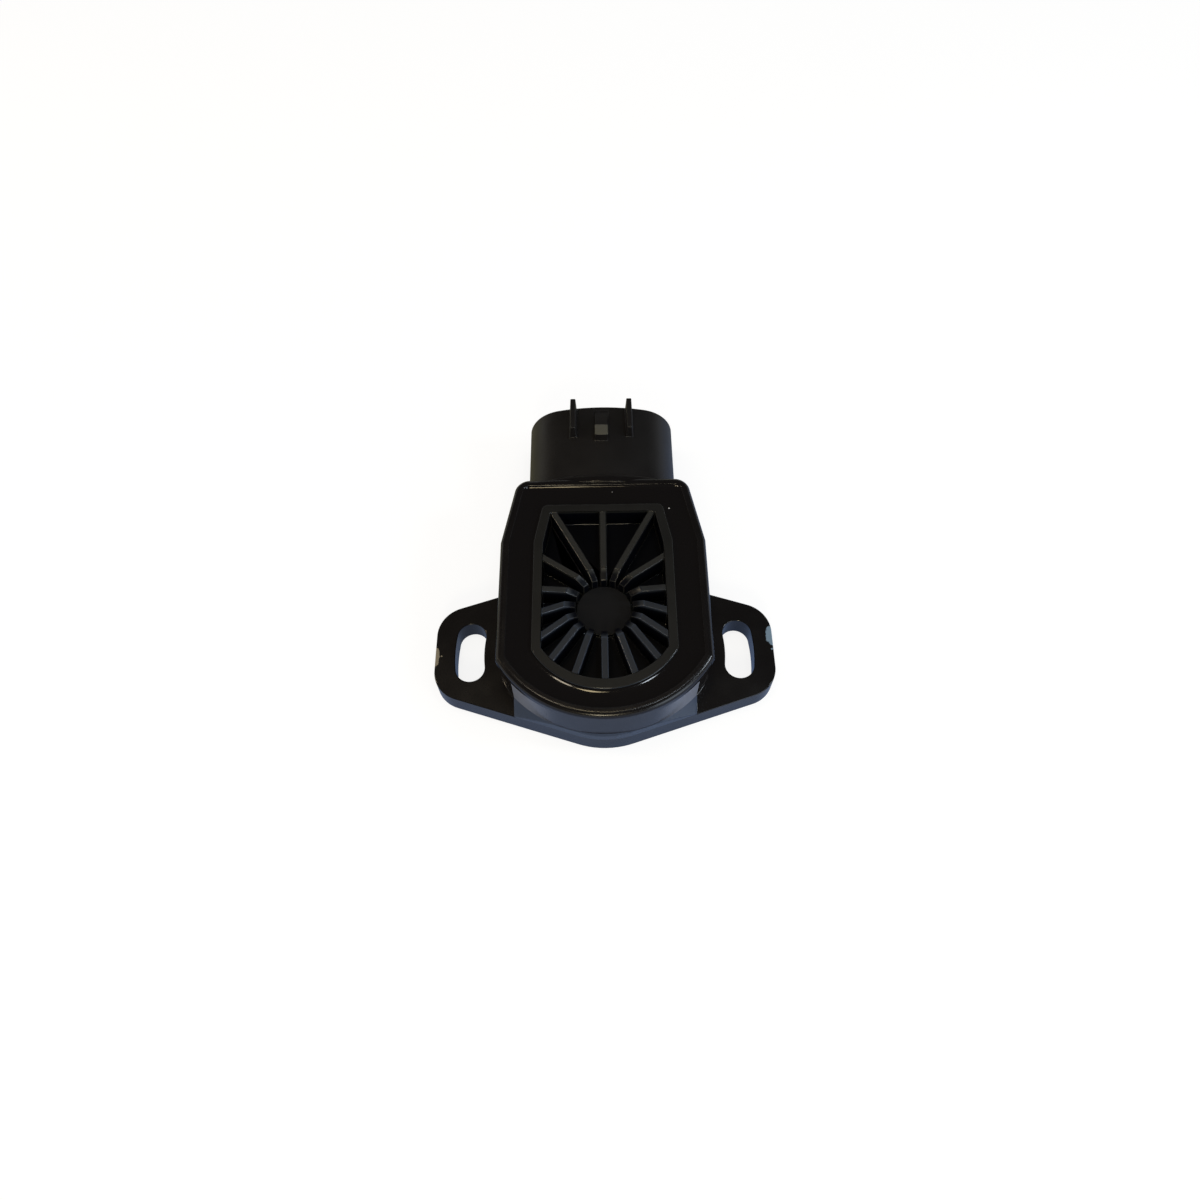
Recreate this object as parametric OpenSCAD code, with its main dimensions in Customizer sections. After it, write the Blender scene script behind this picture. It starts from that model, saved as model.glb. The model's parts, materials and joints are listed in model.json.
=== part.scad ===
// Throttle position sensor: a moulded housing with two slotted ears and a three-pin connector,
// a ribbed cover sealed in with resin, and a sprung rotor that sweeps a wiper over a flat track board.
// Millimetres. The rotor turns about Z, the mounting face is Z = 0 and the connector points to +Y.

/* [Body] */
// height of the rim above the mounting face
body_h = 14.2; // [12:0.1:18]
// half width of the body across its flat sides
body_hw = 19.15; // [17:0.05:22]
// where the sides start to taper towards the connector
body_kink_y = 18.2; // [14:0.1:22]
// far wall, under the connector
body_far_y = 32.4; // [30:0.1:36]
// taper of the sides beyond the kink, in degrees
body_taper = 10.9; // [6:0.1:16]
// radius of the two corners beside the connector
body_corner_r = 3; // [2:0.1:4]
// radius of the rounded front wall
front_r = 22.1; // [20.5:0.1:24]
// centre of the rounded front wall
front_y = 4.95; // [3:0.05:7]
// rounding of the rim's outer edge
rim_round = 1.1; // [0.6:0.05:1.5]
// thickness of the wall round the resin
rim_wall = 1.7; // [1.4:0.05:2.2]
// height of the proud band under the rim
rim_band_h = 1.9; // [1.5:0.05:3]
// step from the rim band back to the wall below
rim_step = 0.4; // [0.2:0.05:0.8]

/* [Flange] */
// thickness of the ears
ear_t = 4.4; // [3.5:0.1:6]
// half length over both ears
ear_hx = 31.4; // [29:0.1:34]
// distance from the axis to the sharp point where the flange edges would meet
vee_y = 18.37; // [17:0.05:20]
// slope of the flange edges, in degrees
vee_angle = 18.3; // [15:0.1:22]
// rounding of the ear corners
ear_corner_r = 6; // [4:0.1:8]
// rounding of the flange's front point
nose_r = 16; // [10:0.5:22]
// material between a slot and the end of its ear
slot_edge = 3.67; // [2.5:0.01:5]
// half width of a slot
slot_r = 2.68; // [2.2:0.02:3.2]
// half of the adjusting angle of a slot, in degrees
slot_half_angle = 7.4; // [4:0.1:9]
// half width of the raised front block
block_hw = 16.4; // [12:0.1:18]
// height of the line where the block's slope meets the wall
block_h = 6.4; // [5.5:0.1:8]
// radius reached by the block's slope at the top of the ears
block_foot_r = 24.3; // [23:0.1:26]
// how far the wall's front corners are cut back beside the block
corner_back = 0.3; // [0.1:0.05:0.6]
// length of those cuts along Y
corner_len = 5.6; // [4:0.1:7]

/* [Connector] */
// mouth of the connector
mouth_y = 50; // [44:0.5:56]
// half width of the shroud
shroud_hw = 14.7; // [13:0.1:16]
// radius of the shroud's rounded sides
shroud_r = 7.8; // [6:0.1:9]
// height of the middle of the rounded sides
shroud_mid_z = 6.5; // [6:0.1:8]
// radius of the slightly crowned top
shroud_crown_r = 40; // [30:1:80]
// height of the shroud's flat underside
shroud_base_z = 0.4; // [0.2:0.1:1.5]
// wall of the shroud
shroud_wall = 1.5; // [1.2:0.1:2]
// depth of the connector's well
well_depth = 15.4; // [12:0.1:17]
// how far the collar at the foot of the shroud stands out
collar_out = 0.2; // [0.2:0.05:0.8]
// length of that collar
collar_len = 0.5; // [0.4:0.05:1.2]
// distance of the guide ribs from the middle
guide_x = 5.6; // [4:0.1:7]
// height of the guide ribs above the shroud's top
guide_h = 2.6; // [1.5:0.1:3.5]
// length of the guide ribs
guide_len = 7.4; // [5:0.1:12]
// thickness of a guide rib at its foot
guide_foot_t = 1.5; // [1:0.05:2]
// thickness of a guide rib at its tip
guide_tip_t = 1; // [0.8:0.05:1.5]
// how far ribs and latch reach down into the shroud's wall
guide_root = 1.4; // [1:0.05:1.45]
// width of the latch nose
latch_w = 2.6; // [2:0.1:4]
// height of the latch nose above the shroud's top
latch_h = 1.9; // [1.2:0.1:2.5]
// distance of the latch's step from the mouth
latch_back = 8.6; // [6:0.1:10]
// length of the latch's flat
latch_flat = 2.5; // [1:0.1:4]
// distance from the mouth to where the latch's slope starts
latch_front = 1.2; // [0.5:0.1:2]

/* [Cover] */
// top of the cover's frame
cover_top_z = 14.35; // [12:0.05:18]
// half width over the frame
frame_hw = 12.9; // [11:0.05:14]
// half width of the pocket inside the frame
pocket_hw = 11.2; // [9.5:0.05:12.5]
// far edge of the frame
frame_far_y = 26.1; // [24:0.1:28]
// far edge of the pocket
pocket_far_y = 24.4; // [22.5:0.1:26.5]
// where the frame's sides start to taper
frame_kink_y = 18; // [15:0.1:20]
// where the pocket's sides start to taper
pocket_kink_y = 17.6; // [15:0.1:20]
// radius of the frame's far corners
frame_corner_r = 1.2; // [0.8:0.1:2]
// radius of the pocket's far corners
pocket_corner_r = 0.6; // [0.4:0.1:1.5]
// radius of the frame's rounded front
frame_front_r = 14.7; // [14:0.1:16]
// centre of the frame's rounded front
frame_front_y = 2.7; // [2:0.1:4]
// radius of the pocket's rounded front
pocket_front_r = 13.4; // [12.5:0.1:14]
// centre of the pocket's rounded front
pocket_front_y = 3.3; // [2:0.1:4.5]
// height of the pocket's floor
pocket_floor_z = 10; // [9:0.1:11]
// thickness of that floor
pocket_floor_t = 1.2; // [1:0.1:1.6]
// point that the ribs run towards
rib_y = 6.95; // [5:0.05:8]
// centre of the hub
hub_y = 5; // [4:0.05:7]
// thickness of a rib
rib_t = 1.2; // [0.9:0.05:1.5]
// depth of the rib tops below the frame
rib_drop = 0.1; // [0:0.05:0.4]
// radius of the hub
hub_r = 5.1; // [4:0.05:6]
// height of the hub above the pocket's floor
hub_h = 0.8; // [0.4:0.1:1.5]
// radius of the clear circle that the ribs stop at
rib_end_r = 5.2; // [4.2:0.05:6.5]
// radius where the rib tops start to dip towards the hub
dip_r = 7.15; // [6:0.05:8]
// depth of that dip
dip_h = 1.5; // [0.8:0.1:2]
// underside of the cover's sealing plate
seat_z = 11.2; // [10.5:0.1:12]
// thickness of the sealing plate
seat_t = 1; // [0.8:0.1:1.4]
// top of the resin below the rim
resin_drop = 0.3; // [0.1:0.05:0.6]
// width of the inner ledge that carries the cover
ledge_w = 1.3; // [0.8:0.1:1.6]

/* [Rotor] */
// height of the chamber floor round the rotor
floor_z = 4.6; // [4.4:0.1:5]
// floor of the deeper well behind the rotor
rear_floor_z = 2.2; // [2:0.1:3]
// where that well starts
rear_well_y = 17; // [16:0.5:20]
// how far that well keeps in from the chamber's sides
rear_well_in = 1.6; // [1:0.1:2]
// radius of the locating recess in the mounting face
recess_r = 8; // [7.4:0.05:8.4]
// depth of that recess
recess_h = 1.2; // [1:0.1:1.4]
// radius of the rotor's journal
journal_r = 6.8; // [6.4:0.05:7]
// running gap round the journal
journal_gap = 0.06; // [0.02:0.01:0.1]
// underside of the journal
journal_z = 1.35; // [1.25:0.05:1.8]
// underside of the disc
disc_z = 5; // [4.9:0.05:5.4]
// thickness of the disc
disc_t = 1.4; // [1:0.1:1.6]
// radius of the disc
disc_r = 11.3; // [10.5:0.1:11.5]
// radius reached by the stop lug
lug_r = 13.2; // [12.5:0.1:13.4]
// width of the stop lug
lug_w = 3; // [2:0.1:4]
// travel between the two stops, in degrees
travel = 104; // [90:1:110]
// width of the drive slot
drive_w = 4.8; // [4.6:0.1:5.2]
// length of the drive slot
drive_l = 9.8; // [9:0.1:10.4]
// roof of the drive slot
drive_roof_z = 5.7; // [5.5:0.1:5.8]
// thickness of the sprung leaf in the drive slot
leaf_t = 0.25; // [0.15:0.05:0.35]
// how far the leaf bulges into the slot
leaf_bulge = 0.25; // [0.1:0.05:0.4]
// radius of the upper stem
stem_r = 2.5; // [2:0.1:3]
// running gap of the stem in the cover
stem_gap = 0.05; // [0.02:0.01:0.1]
// tip of the upper stem
stem_top_z = 9.1; // [8.9:0.05:9.2]
// wall of the bearing sleeve round the journal
sleeve_t = 1.3; // [1:0.1:1.6]
// outer radius of the spring's well
spring_well_r = 11.8; // [11.4:0.1:12]
// floor of the spring's well
spring_well_z = 2.6; // [2.5:0.1:3]
// thickness of the plastic thrust washer on the disc
thrust_t = 0.3; // [0.2:0.05:0.4]
// thickness of the dished washer's steel
bias_t = 0.2; // [0.15:0.05:0.3]

/* [Wiper] */
// thickness of the plate that carries both brushes
plate_t = 0.2; // [0.15:0.05:0.3]
// width of that plate
plate_w = 3; // [2.4:0.1:3.4]
// radius of the two pegs that hold it
peg_r = 0.42; // [0.3:0.02:0.5]
// width of one brush
brush_w = 1.1; // [0.8:0.05:1.3]
// width of one of its three fingers
finger_w = 0.26; // [0.2:0.02:0.34]
// thickness of the brush strip
finger_t = 0.15; // [0.1:0.01:0.2]
// reach of the fingers past the plate
finger_reach = 2.4; // [1.5:0.1:3]
// length of the finger tips along the track
finger_tip = 0.6; // [0.4:0.05:0.8]

/* [Spring] */
// inner radius of the coil
spring_in_r = 9.35; // [9.2:0.05:9.6]
// outer radius of the coil
spring_out_r = 11.35; // [11:0.05:11.5]
// number of turns
spring_turns = 4; // [3:1:5]
// thickness of the strip
spring_strip_t = 0.22; // [0.15:0.01:0.3]
// height of the strip
spring_strip_h = 1.6; // [1:0.1:1.8]
// width of the pocket that holds the spring's outer end
spring_pocket_w = 2; // [1.5:0.1:2.5]
// depth of that pocket outside the spring's well
spring_pocket_l = 0.8; // [0.6:0.05:1]

/* [Seal] */
// inner radius of the groove round the recess
groove_in_r = 9.3; // [9:0.05:10]
// outer radius of the groove
groove_out_r = 11.3; // [11:0.05:12]
// depth of the groove
groove_h = 1.3; // [1:0.05:1.4]
// thickness of the ring's round section
seal_d = 1.25; // [1:0.05:1.3]

/* [Board] */
// half width of the board
board_hw = 13.2; // [12:0.1:14]
// front edge of the board
board_front_y = -6.5; // [-7:0.1:-5]
// far edge of the board
board_far_y = 20.5; // [19:0.1:22]
// corner cuts at the far edge
board_cut = 4; // [3:0.1:5]
// thickness of the board
board_t = 0.8; // [0.6:0.05:0.85]
// underside of the board
board_z = 7.9; // [7.8:0.05:8]
// hole round the stem's bearing boss
board_hole_r = 5; // [4.6:0.1:5.4]
// radius of the bearing boss under the cover
boss_r = 4.3; // [3.8:0.1:4.4]
// underside of that boss
boss_z = 7.3; // [7.2:0.05:7.5]
// width and length of the two blocks that the board rests on
rest_size = 2.4; // [2:0.1:3]
// thickness of the printed tracks
track_t = 0.06; // [0.04:0.01:0.1]
// distance from the bearing boss to the collector track
boss_gap = 1.8; // [1.6:0.1:2]
// width of the resistor track
res_w = 1.8; // [1.4:0.1:2]
// width of the collector track inside the resistor track
col_w = 1.6; // [1.2:0.1:1.8]
// bare ring between both tracks
track_gap = 1; // [0.8:0.1:1.2]
// half of the angle that the tracks cover, in degrees
track_half_angle = 66; // [60:1:75]
// how much further the collector track runs at its lead, in degrees
col_more = 20; // [15:1:22]
// width of a printed lead
lead_w = 0.8; // [0.5:0.1:1]
// distance between neighbouring leads
lead_pitch = 1.2; // [1:0.1:1.3]
// distance from the resistor track to the first lead across
lead_gap = 1.7; // [1.2:0.1:2]
// width of a pad at the far edge of the board
pad_w = 2.4; // [2:0.1:3]
// length of a pad
pad_len = 2.2; // [1.6:0.1:3]
// distance of the pads from the board's edge
pad_edge = 0.3; // [0.2:0.05:0.5]

/* [Terminals] */
// distance between neighbouring terminals
pin_pitch = 5.6; // [5:0.1:6]
// width of a blade
pin_w = 2.3; // [1.5:0.1:2.8]
// thickness of a blade
pin_t = 0.64; // [0.5:0.02:0.8]
// distance of the blades' tips behind the mouth
pin_set_back = 3.5; // [2:0.1:6]
// inner end of the blades
pin_in_y = 25.2; // [24.5:0.1:26]
// width of a contact clip
clip_w = 1.8; // [1.2:0.1:2.2]
// thickness of the clip's strip
clip_t = 0.25; // [0.2:0.01:0.35]
// length of the clip's foot on the blade
clip_foot = 2.8; // [2:0.1:3.2]
// length of the clip's contact on the pad
clip_touch = 1.1; // [0.8:0.1:1.4]

/* [Hidden] */
$fn = 96;
eps = 0.01;
// how far a rounding reaches past the straight lines that it runs into, so that they really cross
over = 0.003;
big = 80;
seat_gap = 0.15;
rest_gap = 0.05;
slot_arc_r = ear_hx - slot_edge - slot_r;
ledge_in = rim_wall + ledge_w;
resin_top_z = body_h - resin_drop;
cover_under_z = pocket_floor_z - pocket_floor_t;
band_z = body_h - rim_band_h;
disc_top_z = disc_z + disc_t;
bore_r = journal_r + journal_gap;
sleeve_r = bore_r + sleeve_t;
skirt_in_r = sleeve_r + 0.25;
skirt_out_r = spring_in_r - 0.3;
skirt_z = spring_well_z + 0.4;
lug_angle = -90 - travel / 2;
lug_half = asin(lug_w / 2 / disc_r);
stop_in_r = max(disc_r + 0.4, spring_well_r + 0.1);
stop_out_r = lug_r + 1.2;
// angle that a stop block covers, and the sliver of air left between it and the lug
stop_w = 11;
stop_air = 0.3;
wiper_angle = lug_angle + 180;
wiper_top_z = board_z - track_t - 0.04;
pin_z = shroud_mid_z - pin_t / 2;
pin_tip_y = mouth_y - pin_set_back;
chamber_far_y = body_far_y - ledge_in;
pad_y = board_far_y - pad_edge - pad_len;
well_floor_y = mouth_y - well_depth;
shroud_top_z = shroud_mid_z + shroud_r;
shroud_side_x = shroud_hw - shroud_r;
crown_z = shroud_top_z - shroud_crown_r;
shroud_side_z = crown_z + sqrt(pow(shroud_crown_r - shroud_r + 3 * over, 2) - pow(shroud_side_x, 2));
crown_end_x = shroud_side_x * shroud_crown_r / (shroud_crown_r - shroud_r);
col_in_r = boss_r + boss_gap;
col_mid_r = col_in_r + col_w / 2;
col_out_r = col_in_r + col_w;
res_in_r = col_out_r + track_gap;
res_mid_r = res_in_r + res_w / 2;
res_out_r = res_in_r + res_w;
// pegs of the wiper plate: inside the collector brush, and between both brushes
peg_places = [col_in_r - peg_r - 0.1, (col_mid_r + res_mid_r) / 2];
washer_r = boss_r - 0.1;
res_end_x = res_mid_r * sin(track_half_angle) + 0.25;
res_end_y = res_mid_r * cos(track_half_angle) + 0.2;
col_lead_x = res_end_x + lead_w / 2 + lead_pitch - 0.2;
lead_row_y = res_out_r + lead_gap;
rib_angles = [90, 62, 34, 4.5, -18.5, -37.5, -54.5, -72];

// the plan shape shared by body, frame and pocket: flat sides, tapered beyond the kink, two
// rounded far corners and a rounded front, all drawn a given inset inside the nominal edge
module plan(hw, kink_y, far_y, corner_r, fr, fy, inset) {
    k = hw * cos(body_taper) + kink_y * sin(body_taper);
    cy = far_y - corner_r;
    cx = (k - corner_r - cy * sin(body_taper)) / cos(body_taper);
    ky = (k - inset - (hw - inset) * cos(body_taper)) / sin(body_taper);
    r = corner_r - inset;
    side = max(r, eps);
    tx = r > eps ? cx + r * cos(body_taper)
                 : (k - inset - (far_y - inset) * sin(body_taper)) / cos(body_taper);
    ty = r > eps ? cy + r * sin(body_taper) : far_y - inset;
    top_x = r > eps ? cx : tx;
    intersection() {
        union() {
            polygon([[hw - inset, -big], [hw - inset, ky], [tx, ty], [top_x, far_y - inset],
                     [-top_x, far_y - inset], [-tx, ty], [-(hw - inset), ky], [-(hw - inset), -big]]);
            if (r > eps) {
                translate([cx, cy]) circle(r = side + over);
                translate([-cx, cy]) circle(r = side + over);
            }
        }
        union() {
            translate([0, fy]) circle(r = fr - inset);
            translate([-big / 2, fy]) square([big, big]);
        }
    }
}

module body_plan(inset) {
    plan(body_hw, body_kink_y, body_far_y, body_corner_r, front_r, front_y, inset);
}

module frame_plan() {
    plan(frame_hw, frame_kink_y, frame_far_y, frame_corner_r, frame_front_r, frame_front_y, 0);
}

module pocket_plan() {
    plan(pocket_hw, pocket_kink_y, pocket_far_y, pocket_corner_r, pocket_front_r, pocket_front_y, 0);
}

// profile of a wall whose top edge is rounded, from the middle out to the given distance
module edge_profile(reach) {
    square([reach - rim_round, body_h]);
    square([reach, body_h - rim_round]);
    translate([reach - rim_round, body_h - rim_round]) circle(r = rim_round);
}

// everything on the inner side of one straight wall that faces along the given direction
module straight_wall(angle, reach) {
    rotate([0, 0, angle])
        translate([0, big, 0])
            rotate([90, 0, 0])
                linear_extrude(height = 2 * big) {
                    edge_profile(reach);
                    translate([-big, 0]) square([big + 1, body_h]);
                }
}

// a round wall with the same rounded top edge
module round_wall(r) {
    rotate_extrude()
        intersection() {
            edge_profile(r);
            square([r + 1, body_h]);
        }
}

// one far corner: a round wall inside the wedge beyond its centre, no limit elsewhere
module far_corner(side) {
    k = body_hw * cos(body_taper) + body_kink_y * sin(body_taper);
    cy = body_far_y - body_corner_r;
    cx = (k - body_corner_r - cy * sin(body_taper)) / cos(body_taper);
    mirror([side < 0 ? 1 : 0, 0, 0])
        union() {
            translate([cx, cy, 0]) round_wall(body_corner_r + over);
            linear_extrude(height = body_h)
                polygon([[cx, cy], [cx, cy + big], [-big, cy + big], [-big, -big],
                         [cx + big, -big], [cx + big, cy + big * tan(body_taper)]]);
        }
}

module rounded_body() {
    k = body_hw * cos(body_taper) + body_kink_y * sin(body_taper);
    intersection() {
        straight_wall(0, body_hw);
        straight_wall(180, body_hw);
        straight_wall(body_taper, k);
        straight_wall(180 - body_taper, k);
        straight_wall(90, body_far_y);
        far_corner(1);
        far_corner(-1);
        union() {
            translate([0, front_y, 0]) round_wall(front_r);
            translate([-big / 2, front_y, 0]) cube([big, big, body_h]);
        }
    }
}

// wall below the rim band: set back by the step, with its two front corners cut away
module lower_plan() {
    cut_y = front_y - sqrt(front_r * front_r - block_hw * block_hw) - corner_back;
    intersection() {
        body_plan(rim_step);
        polygon([[-block_hw, -big], [block_hw, -big], [block_hw, cut_y], [body_hw, cut_y + corner_len],
                 [body_hw, big], [-body_hw, big], [-body_hw, cut_y + corner_len], [-block_hw, cut_y]]);
    }
}

module flange_plan() {
    cx = ear_hx - ear_corner_r;
    cy = vee_y - cx * tan(vee_angle) - ear_corner_r / cos(vee_angle);
    sx = ear_corner_r * sin(vee_angle);
    sy = ear_corner_r * cos(vee_angle);
    ny = -vee_y + nose_r / cos(vee_angle);
    union() {
        polygon([[nose_r * sin(vee_angle), ny - nose_r * cos(vee_angle)], [cx + sx, -cy - sy],
                 [ear_hx, -cy], [ear_hx, cy], [cx + sx, cy + sy], [0, vee_y],
                 [-cx - sx, cy + sy], [-ear_hx, cy], [-ear_hx, -cy], [-cx - sx, -cy - sy],
                 [-nose_r * sin(vee_angle), ny - nose_r * cos(vee_angle)]]);
        for (x = [-cx, cx], y = [-cy, cy]) {
            translate([x, y]) circle(r = ear_corner_r + over);
        }
        translate([0, ny]) circle(r = nose_r + over);
    }
}

// one adjusting slot: a length of ring round the rotor's axis, closed by two half circles
module slot_plan() {
    a = slot_half_angle;
    intersection() {
        difference() {
            circle(r = slot_arc_r + slot_r);
            circle(r = slot_arc_r - slot_r);
        }
        polygon([[0, 0], [big * cos(a), -big * sin(a)], [big * cos(a), big * sin(a)]]);
    }
    for (s = [-a, a]) {
        rotate(s) translate([slot_arc_r, 0]) circle(r = slot_r + over);
    }
}

// front block: straight up from the flange's edge, sloping back to the round wall
module front_block() {
    slope = (block_foot_r - front_r) / (block_h - ear_t);
    intersection() {
        linear_extrude(height = block_h)
            intersection() {
                flange_plan();
                translate([-block_hw, -big]) square([2 * block_hw, big]);
            }
        translate([0, front_y, 0])
            cylinder(r1 = front_r + slope * block_h, r2 = front_r, h = block_h);
    }
    linear_extrude(height = band_z + eps)
        intersection() {
            body_plan(0);
            translate([-block_hw, -big]) square([2 * block_hw, big]);
        }
}

// connector section in X and Z, drawn a given inset inside its outer skin; the round sides
// run into the crown without a corner
module shroud_section(inset) {
    r = shroud_r - inset;
    intersection() {
        union() {
            for (s = [-1, 1]) translate([s * shroud_side_x, shroud_side_z]) circle(r = r);
            translate([-crown_end_x, shroud_side_z - r]) square([2 * crown_end_x, big]);
        }
        translate([0, crown_z]) circle(r = shroud_crown_r - inset);
        translate([-big / 2, shroud_base_z + inset]) square([big, big]);
    }
}

// pushes an X-Z shape along Y from one value to another
module along_y(y0, y1) {
    translate([0, y1, 0])
        rotate([90, 0, 0])
            linear_extrude(height = y1 - y0)
                children();
}

// pushes a Y-Z shape across X, centred on the given X
module across_x(x, w) {
    translate([x - w / 2, 0, 0])
        rotate([90, 0, 90])
            linear_extrude(height = w)
                children();
}

module ring(r_in, r_out, z0, z1) {
    translate([0, 0, z0])
        difference() {
            cylinder(r = r_out, h = z1 - z0);
            translate([0, 0, -1]) cylinder(r = r_in, h = z1 - z0 + 2);
        }
}

// a length of flat ring between two angles, each less than a half turn from the middle
module ring_sector(r_in, r_out, middle, half) {
    rotate(middle)
        intersection() {
            difference() {
                circle(r = r_out);
                circle(r = r_in);
            }
            polygon([[0, 0], [big * cos(half), -big * sin(half)],
                     [big, -big * sin(half)], [big, big * sin(half)],
                     [big * cos(half), big * sin(half)]]);
        }
}

module stop_block(face_angle, side) {
    translate([0, 0, floor_z - eps])
        linear_extrude(height = board_z - floor_z + eps)
            ring_sector(stop_in_r, stop_out_r, face_angle + side * stop_w / 2, stop_w / 2);
}

module guide_rib(x) {
    root = shroud_top_z - guide_root;
    tip = shroud_top_z + guide_h;
    along_y(mouth_y - guide_len, mouth_y)
        polygon([[x - guide_foot_t / 2, root], [x + guide_foot_t / 2, root],
                 [x + guide_tip_t / 2, tip], [x - guide_tip_t / 2, tip]]);
}

module latch_nose() {
    back = mouth_y - latch_back;
    front = mouth_y - latch_front;
    root = shroud_top_z - guide_root;
    top = shroud_top_z + latch_h;
    across_x(0, latch_w)
        polygon([[back, root], [front, root], [front, shroud_top_z - 0.2],
                 [back + latch_flat, top], [back, top]]);
}

// seat of one terminal in the wall between the chamber and the connector's well
module pin_slot(x) {
    translate([x - pin_w / 2, chamber_far_y - 1, pin_z])
        cube([pin_w, well_floor_y - chamber_far_y + 2, pin_t]);
}

module housing() {
    color([0.05, 0.05, 0.06])
        difference() {
            union() {
                linear_extrude(height = ear_t) flange_plan();
                linear_extrude(height = band_z + eps) lower_plan();
                intersection() {
                    rounded_body();
                    translate([-big / 2, -big / 2, band_z]) cube([big, 2 * big, body_h]);
                }
                front_block();
                along_y(chamber_far_y + 1, mouth_y) shroud_section(0);
                along_y(body_far_y - 1, body_far_y + collar_len) shroud_section(-collar_out);
                guide_rib(guide_x);
                guide_rib(-guide_x);
                latch_nose();
            }
            // both adjusting slots
            translate([0, 0, -1]) linear_extrude(height = ear_t + 2) slot_plan();
            translate([0, 0, -1]) linear_extrude(height = ear_t + 2) mirror([1, 0]) slot_plan();
            // room for the cover and the resin, then the chamber below the ledge
            translate([0, 0, seat_z]) linear_extrude(height = body_h) body_plan(rim_wall);
            difference() {
                translate([0, 0, floor_z]) linear_extrude(height = body_h) body_plan(ledge_in);
                stop_block(lug_angle - lug_half - stop_air, -1);
                stop_block(lug_angle + travel + lug_half + stop_air, 1);
                cylinder(r = sleeve_r, h = disc_z - rest_gap);
                board_rests();
            }
            translate([0, 0, rear_floor_z])
                linear_extrude(height = body_h)
                    intersection() {
                        body_plan(ledge_in + rear_well_in);
                        translate([-big / 2, rear_well_y]) square([big, big]);
                    }
            // well of the spring, with a pocket for its outer end
            ring(sleeve_r, spring_well_r, spring_well_z, floor_z + eps);
            translate([spring_well_r - 1, -spring_pocket_w / 2, spring_well_z])
                cube([1 + spring_pocket_l, spring_pocket_w, floor_z]);
            // journal bore, locating recess and seal groove
            translate([0, 0, -1]) cylinder(r = bore_r, h = big);
            translate([0, 0, -1]) cylinder(r = recess_r, h = recess_h + 1);
            ring(groove_in_r, groove_out_r, -1, groove_h);
            // connector well and the three seats of the terminals
            along_y(well_floor_y, mouth_y + 1) shroud_section(shroud_wall);
            for (x = [-pin_pitch, 0, pin_pitch]) {
                pin_slot(x);
            }
        }
}

// rests for the far corners of the board
module board_rests() {
    for (s = [-1, 1]) {
        translate([s * (board_hw - 0.9) - rest_size / 2, rear_well_y - rest_size - 1, floor_z])
            cube([rest_size, rest_size, board_z - floor_z]);
    }
}

module rib_bars() {
    for (a = rib_angles) {
        translate([0, rib_y]) rotate(a) translate([0, -rib_t / 2]) square([big / 2, rib_t]);
        if (a < 90) {
            translate([0, rib_y]) rotate(180 - a) translate([0, -rib_t / 2]) square([big / 2, rib_t]);
        }
    }
    translate([-rib_t / 2, rib_y - big / 2]) square([rib_t, big / 2]);
}

module cover_ribs() {
    top = cover_top_z - rib_drop;
    difference() {
        translate([0, 0, pocket_floor_z - eps])
            linear_extrude(height = top - pocket_floor_z + eps)
                intersection() {
                    rib_bars();
                    pocket_plan();
                }
        translate([0, hub_y, pocket_floor_z]) cylinder(r = rib_end_r, h = big);
        translate([0, hub_y, top - dip_h])
            cylinder(r1 = rib_end_r, r2 = dip_r + (dip_r - rib_end_r) / dip_h, h = dip_h + 1);
    }
}

module cover_plate() {
    color([0.14, 0.14, 0.13])
        difference() {
            union() {
                difference() {
                    union() {
                        translate([0, 0, cover_under_z])
                            linear_extrude(height = cover_top_z - cover_under_z) frame_plan();
                        translate([0, 0, seat_z])
                            linear_extrude(height = seat_t) body_plan(rim_wall + seat_gap);
                    }
                    translate([0, 0, pocket_floor_z]) linear_extrude(height = big) pocket_plan();
                }
                cover_ribs();
                translate([0, hub_y, pocket_floor_z - eps]) cylinder(r = hub_r, h = hub_h + eps);
                translate([0, 0, boss_z]) cylinder(r = boss_r, h = cover_under_z - boss_z + eps);
            }
            translate([0, 0, boss_z - 1])
                cylinder(r = stem_r + stem_gap, h = stem_top_z + 0.15 - boss_z + 1);
        }
}

module potting_resin() {
    color([0.02, 0.02, 0.02])
        translate([0, 0, seat_z + seat_t])
            linear_extrude(height = resin_top_z - seat_z - seat_t)
                difference() {
                    body_plan(rim_wall);
                    frame_plan();
                }
}

module terminal(x) {
    color([0.75, 0.72, 0.66])
        translate([0, 0, pin_z])
            linear_extrude(height = pin_t)
                polygon([[x - pin_w / 2, pin_in_y], [x + pin_w / 2, pin_in_y],
                         [x + pin_w / 2, pin_tip_y - 1], [x + pin_w / 4, pin_tip_y],
                         [x - pin_w / 4, pin_tip_y], [x - pin_w / 2, pin_tip_y - 1]]);
}

module terminal_signal() {
    terminal(-pin_pitch);
}

module terminal_supply() {
    terminal(0);
}

module terminal_ground() {
    terminal(pin_pitch);
}

// a sprung strip from the top of a terminal up to its pad under the board
module clip(x) {
    z0 = pin_z + pin_t;
    z1 = board_z - track_t;
    bend = pin_in_y + 0.4;
    near = pad_y + (pad_len - clip_touch) / 2;
    far = near + clip_touch;
    color([0.8, 0.62, 0.3])
        across_x(x, clip_w)
            polygon([[pin_in_y + clip_foot, z0], [pin_in_y + clip_foot, z0 + clip_t],
                     [bend, z0 + clip_t], [far, z1], [near, z1], [near, z1 - clip_t],
                     [far - 0.1, z1 - clip_t], [bend - 0.1, z0]]);
}

module clip_signal() {
    clip(-pin_pitch);
}

module clip_supply() {
    clip(0);
}

module clip_ground() {
    clip(pin_pitch);
}

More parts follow.
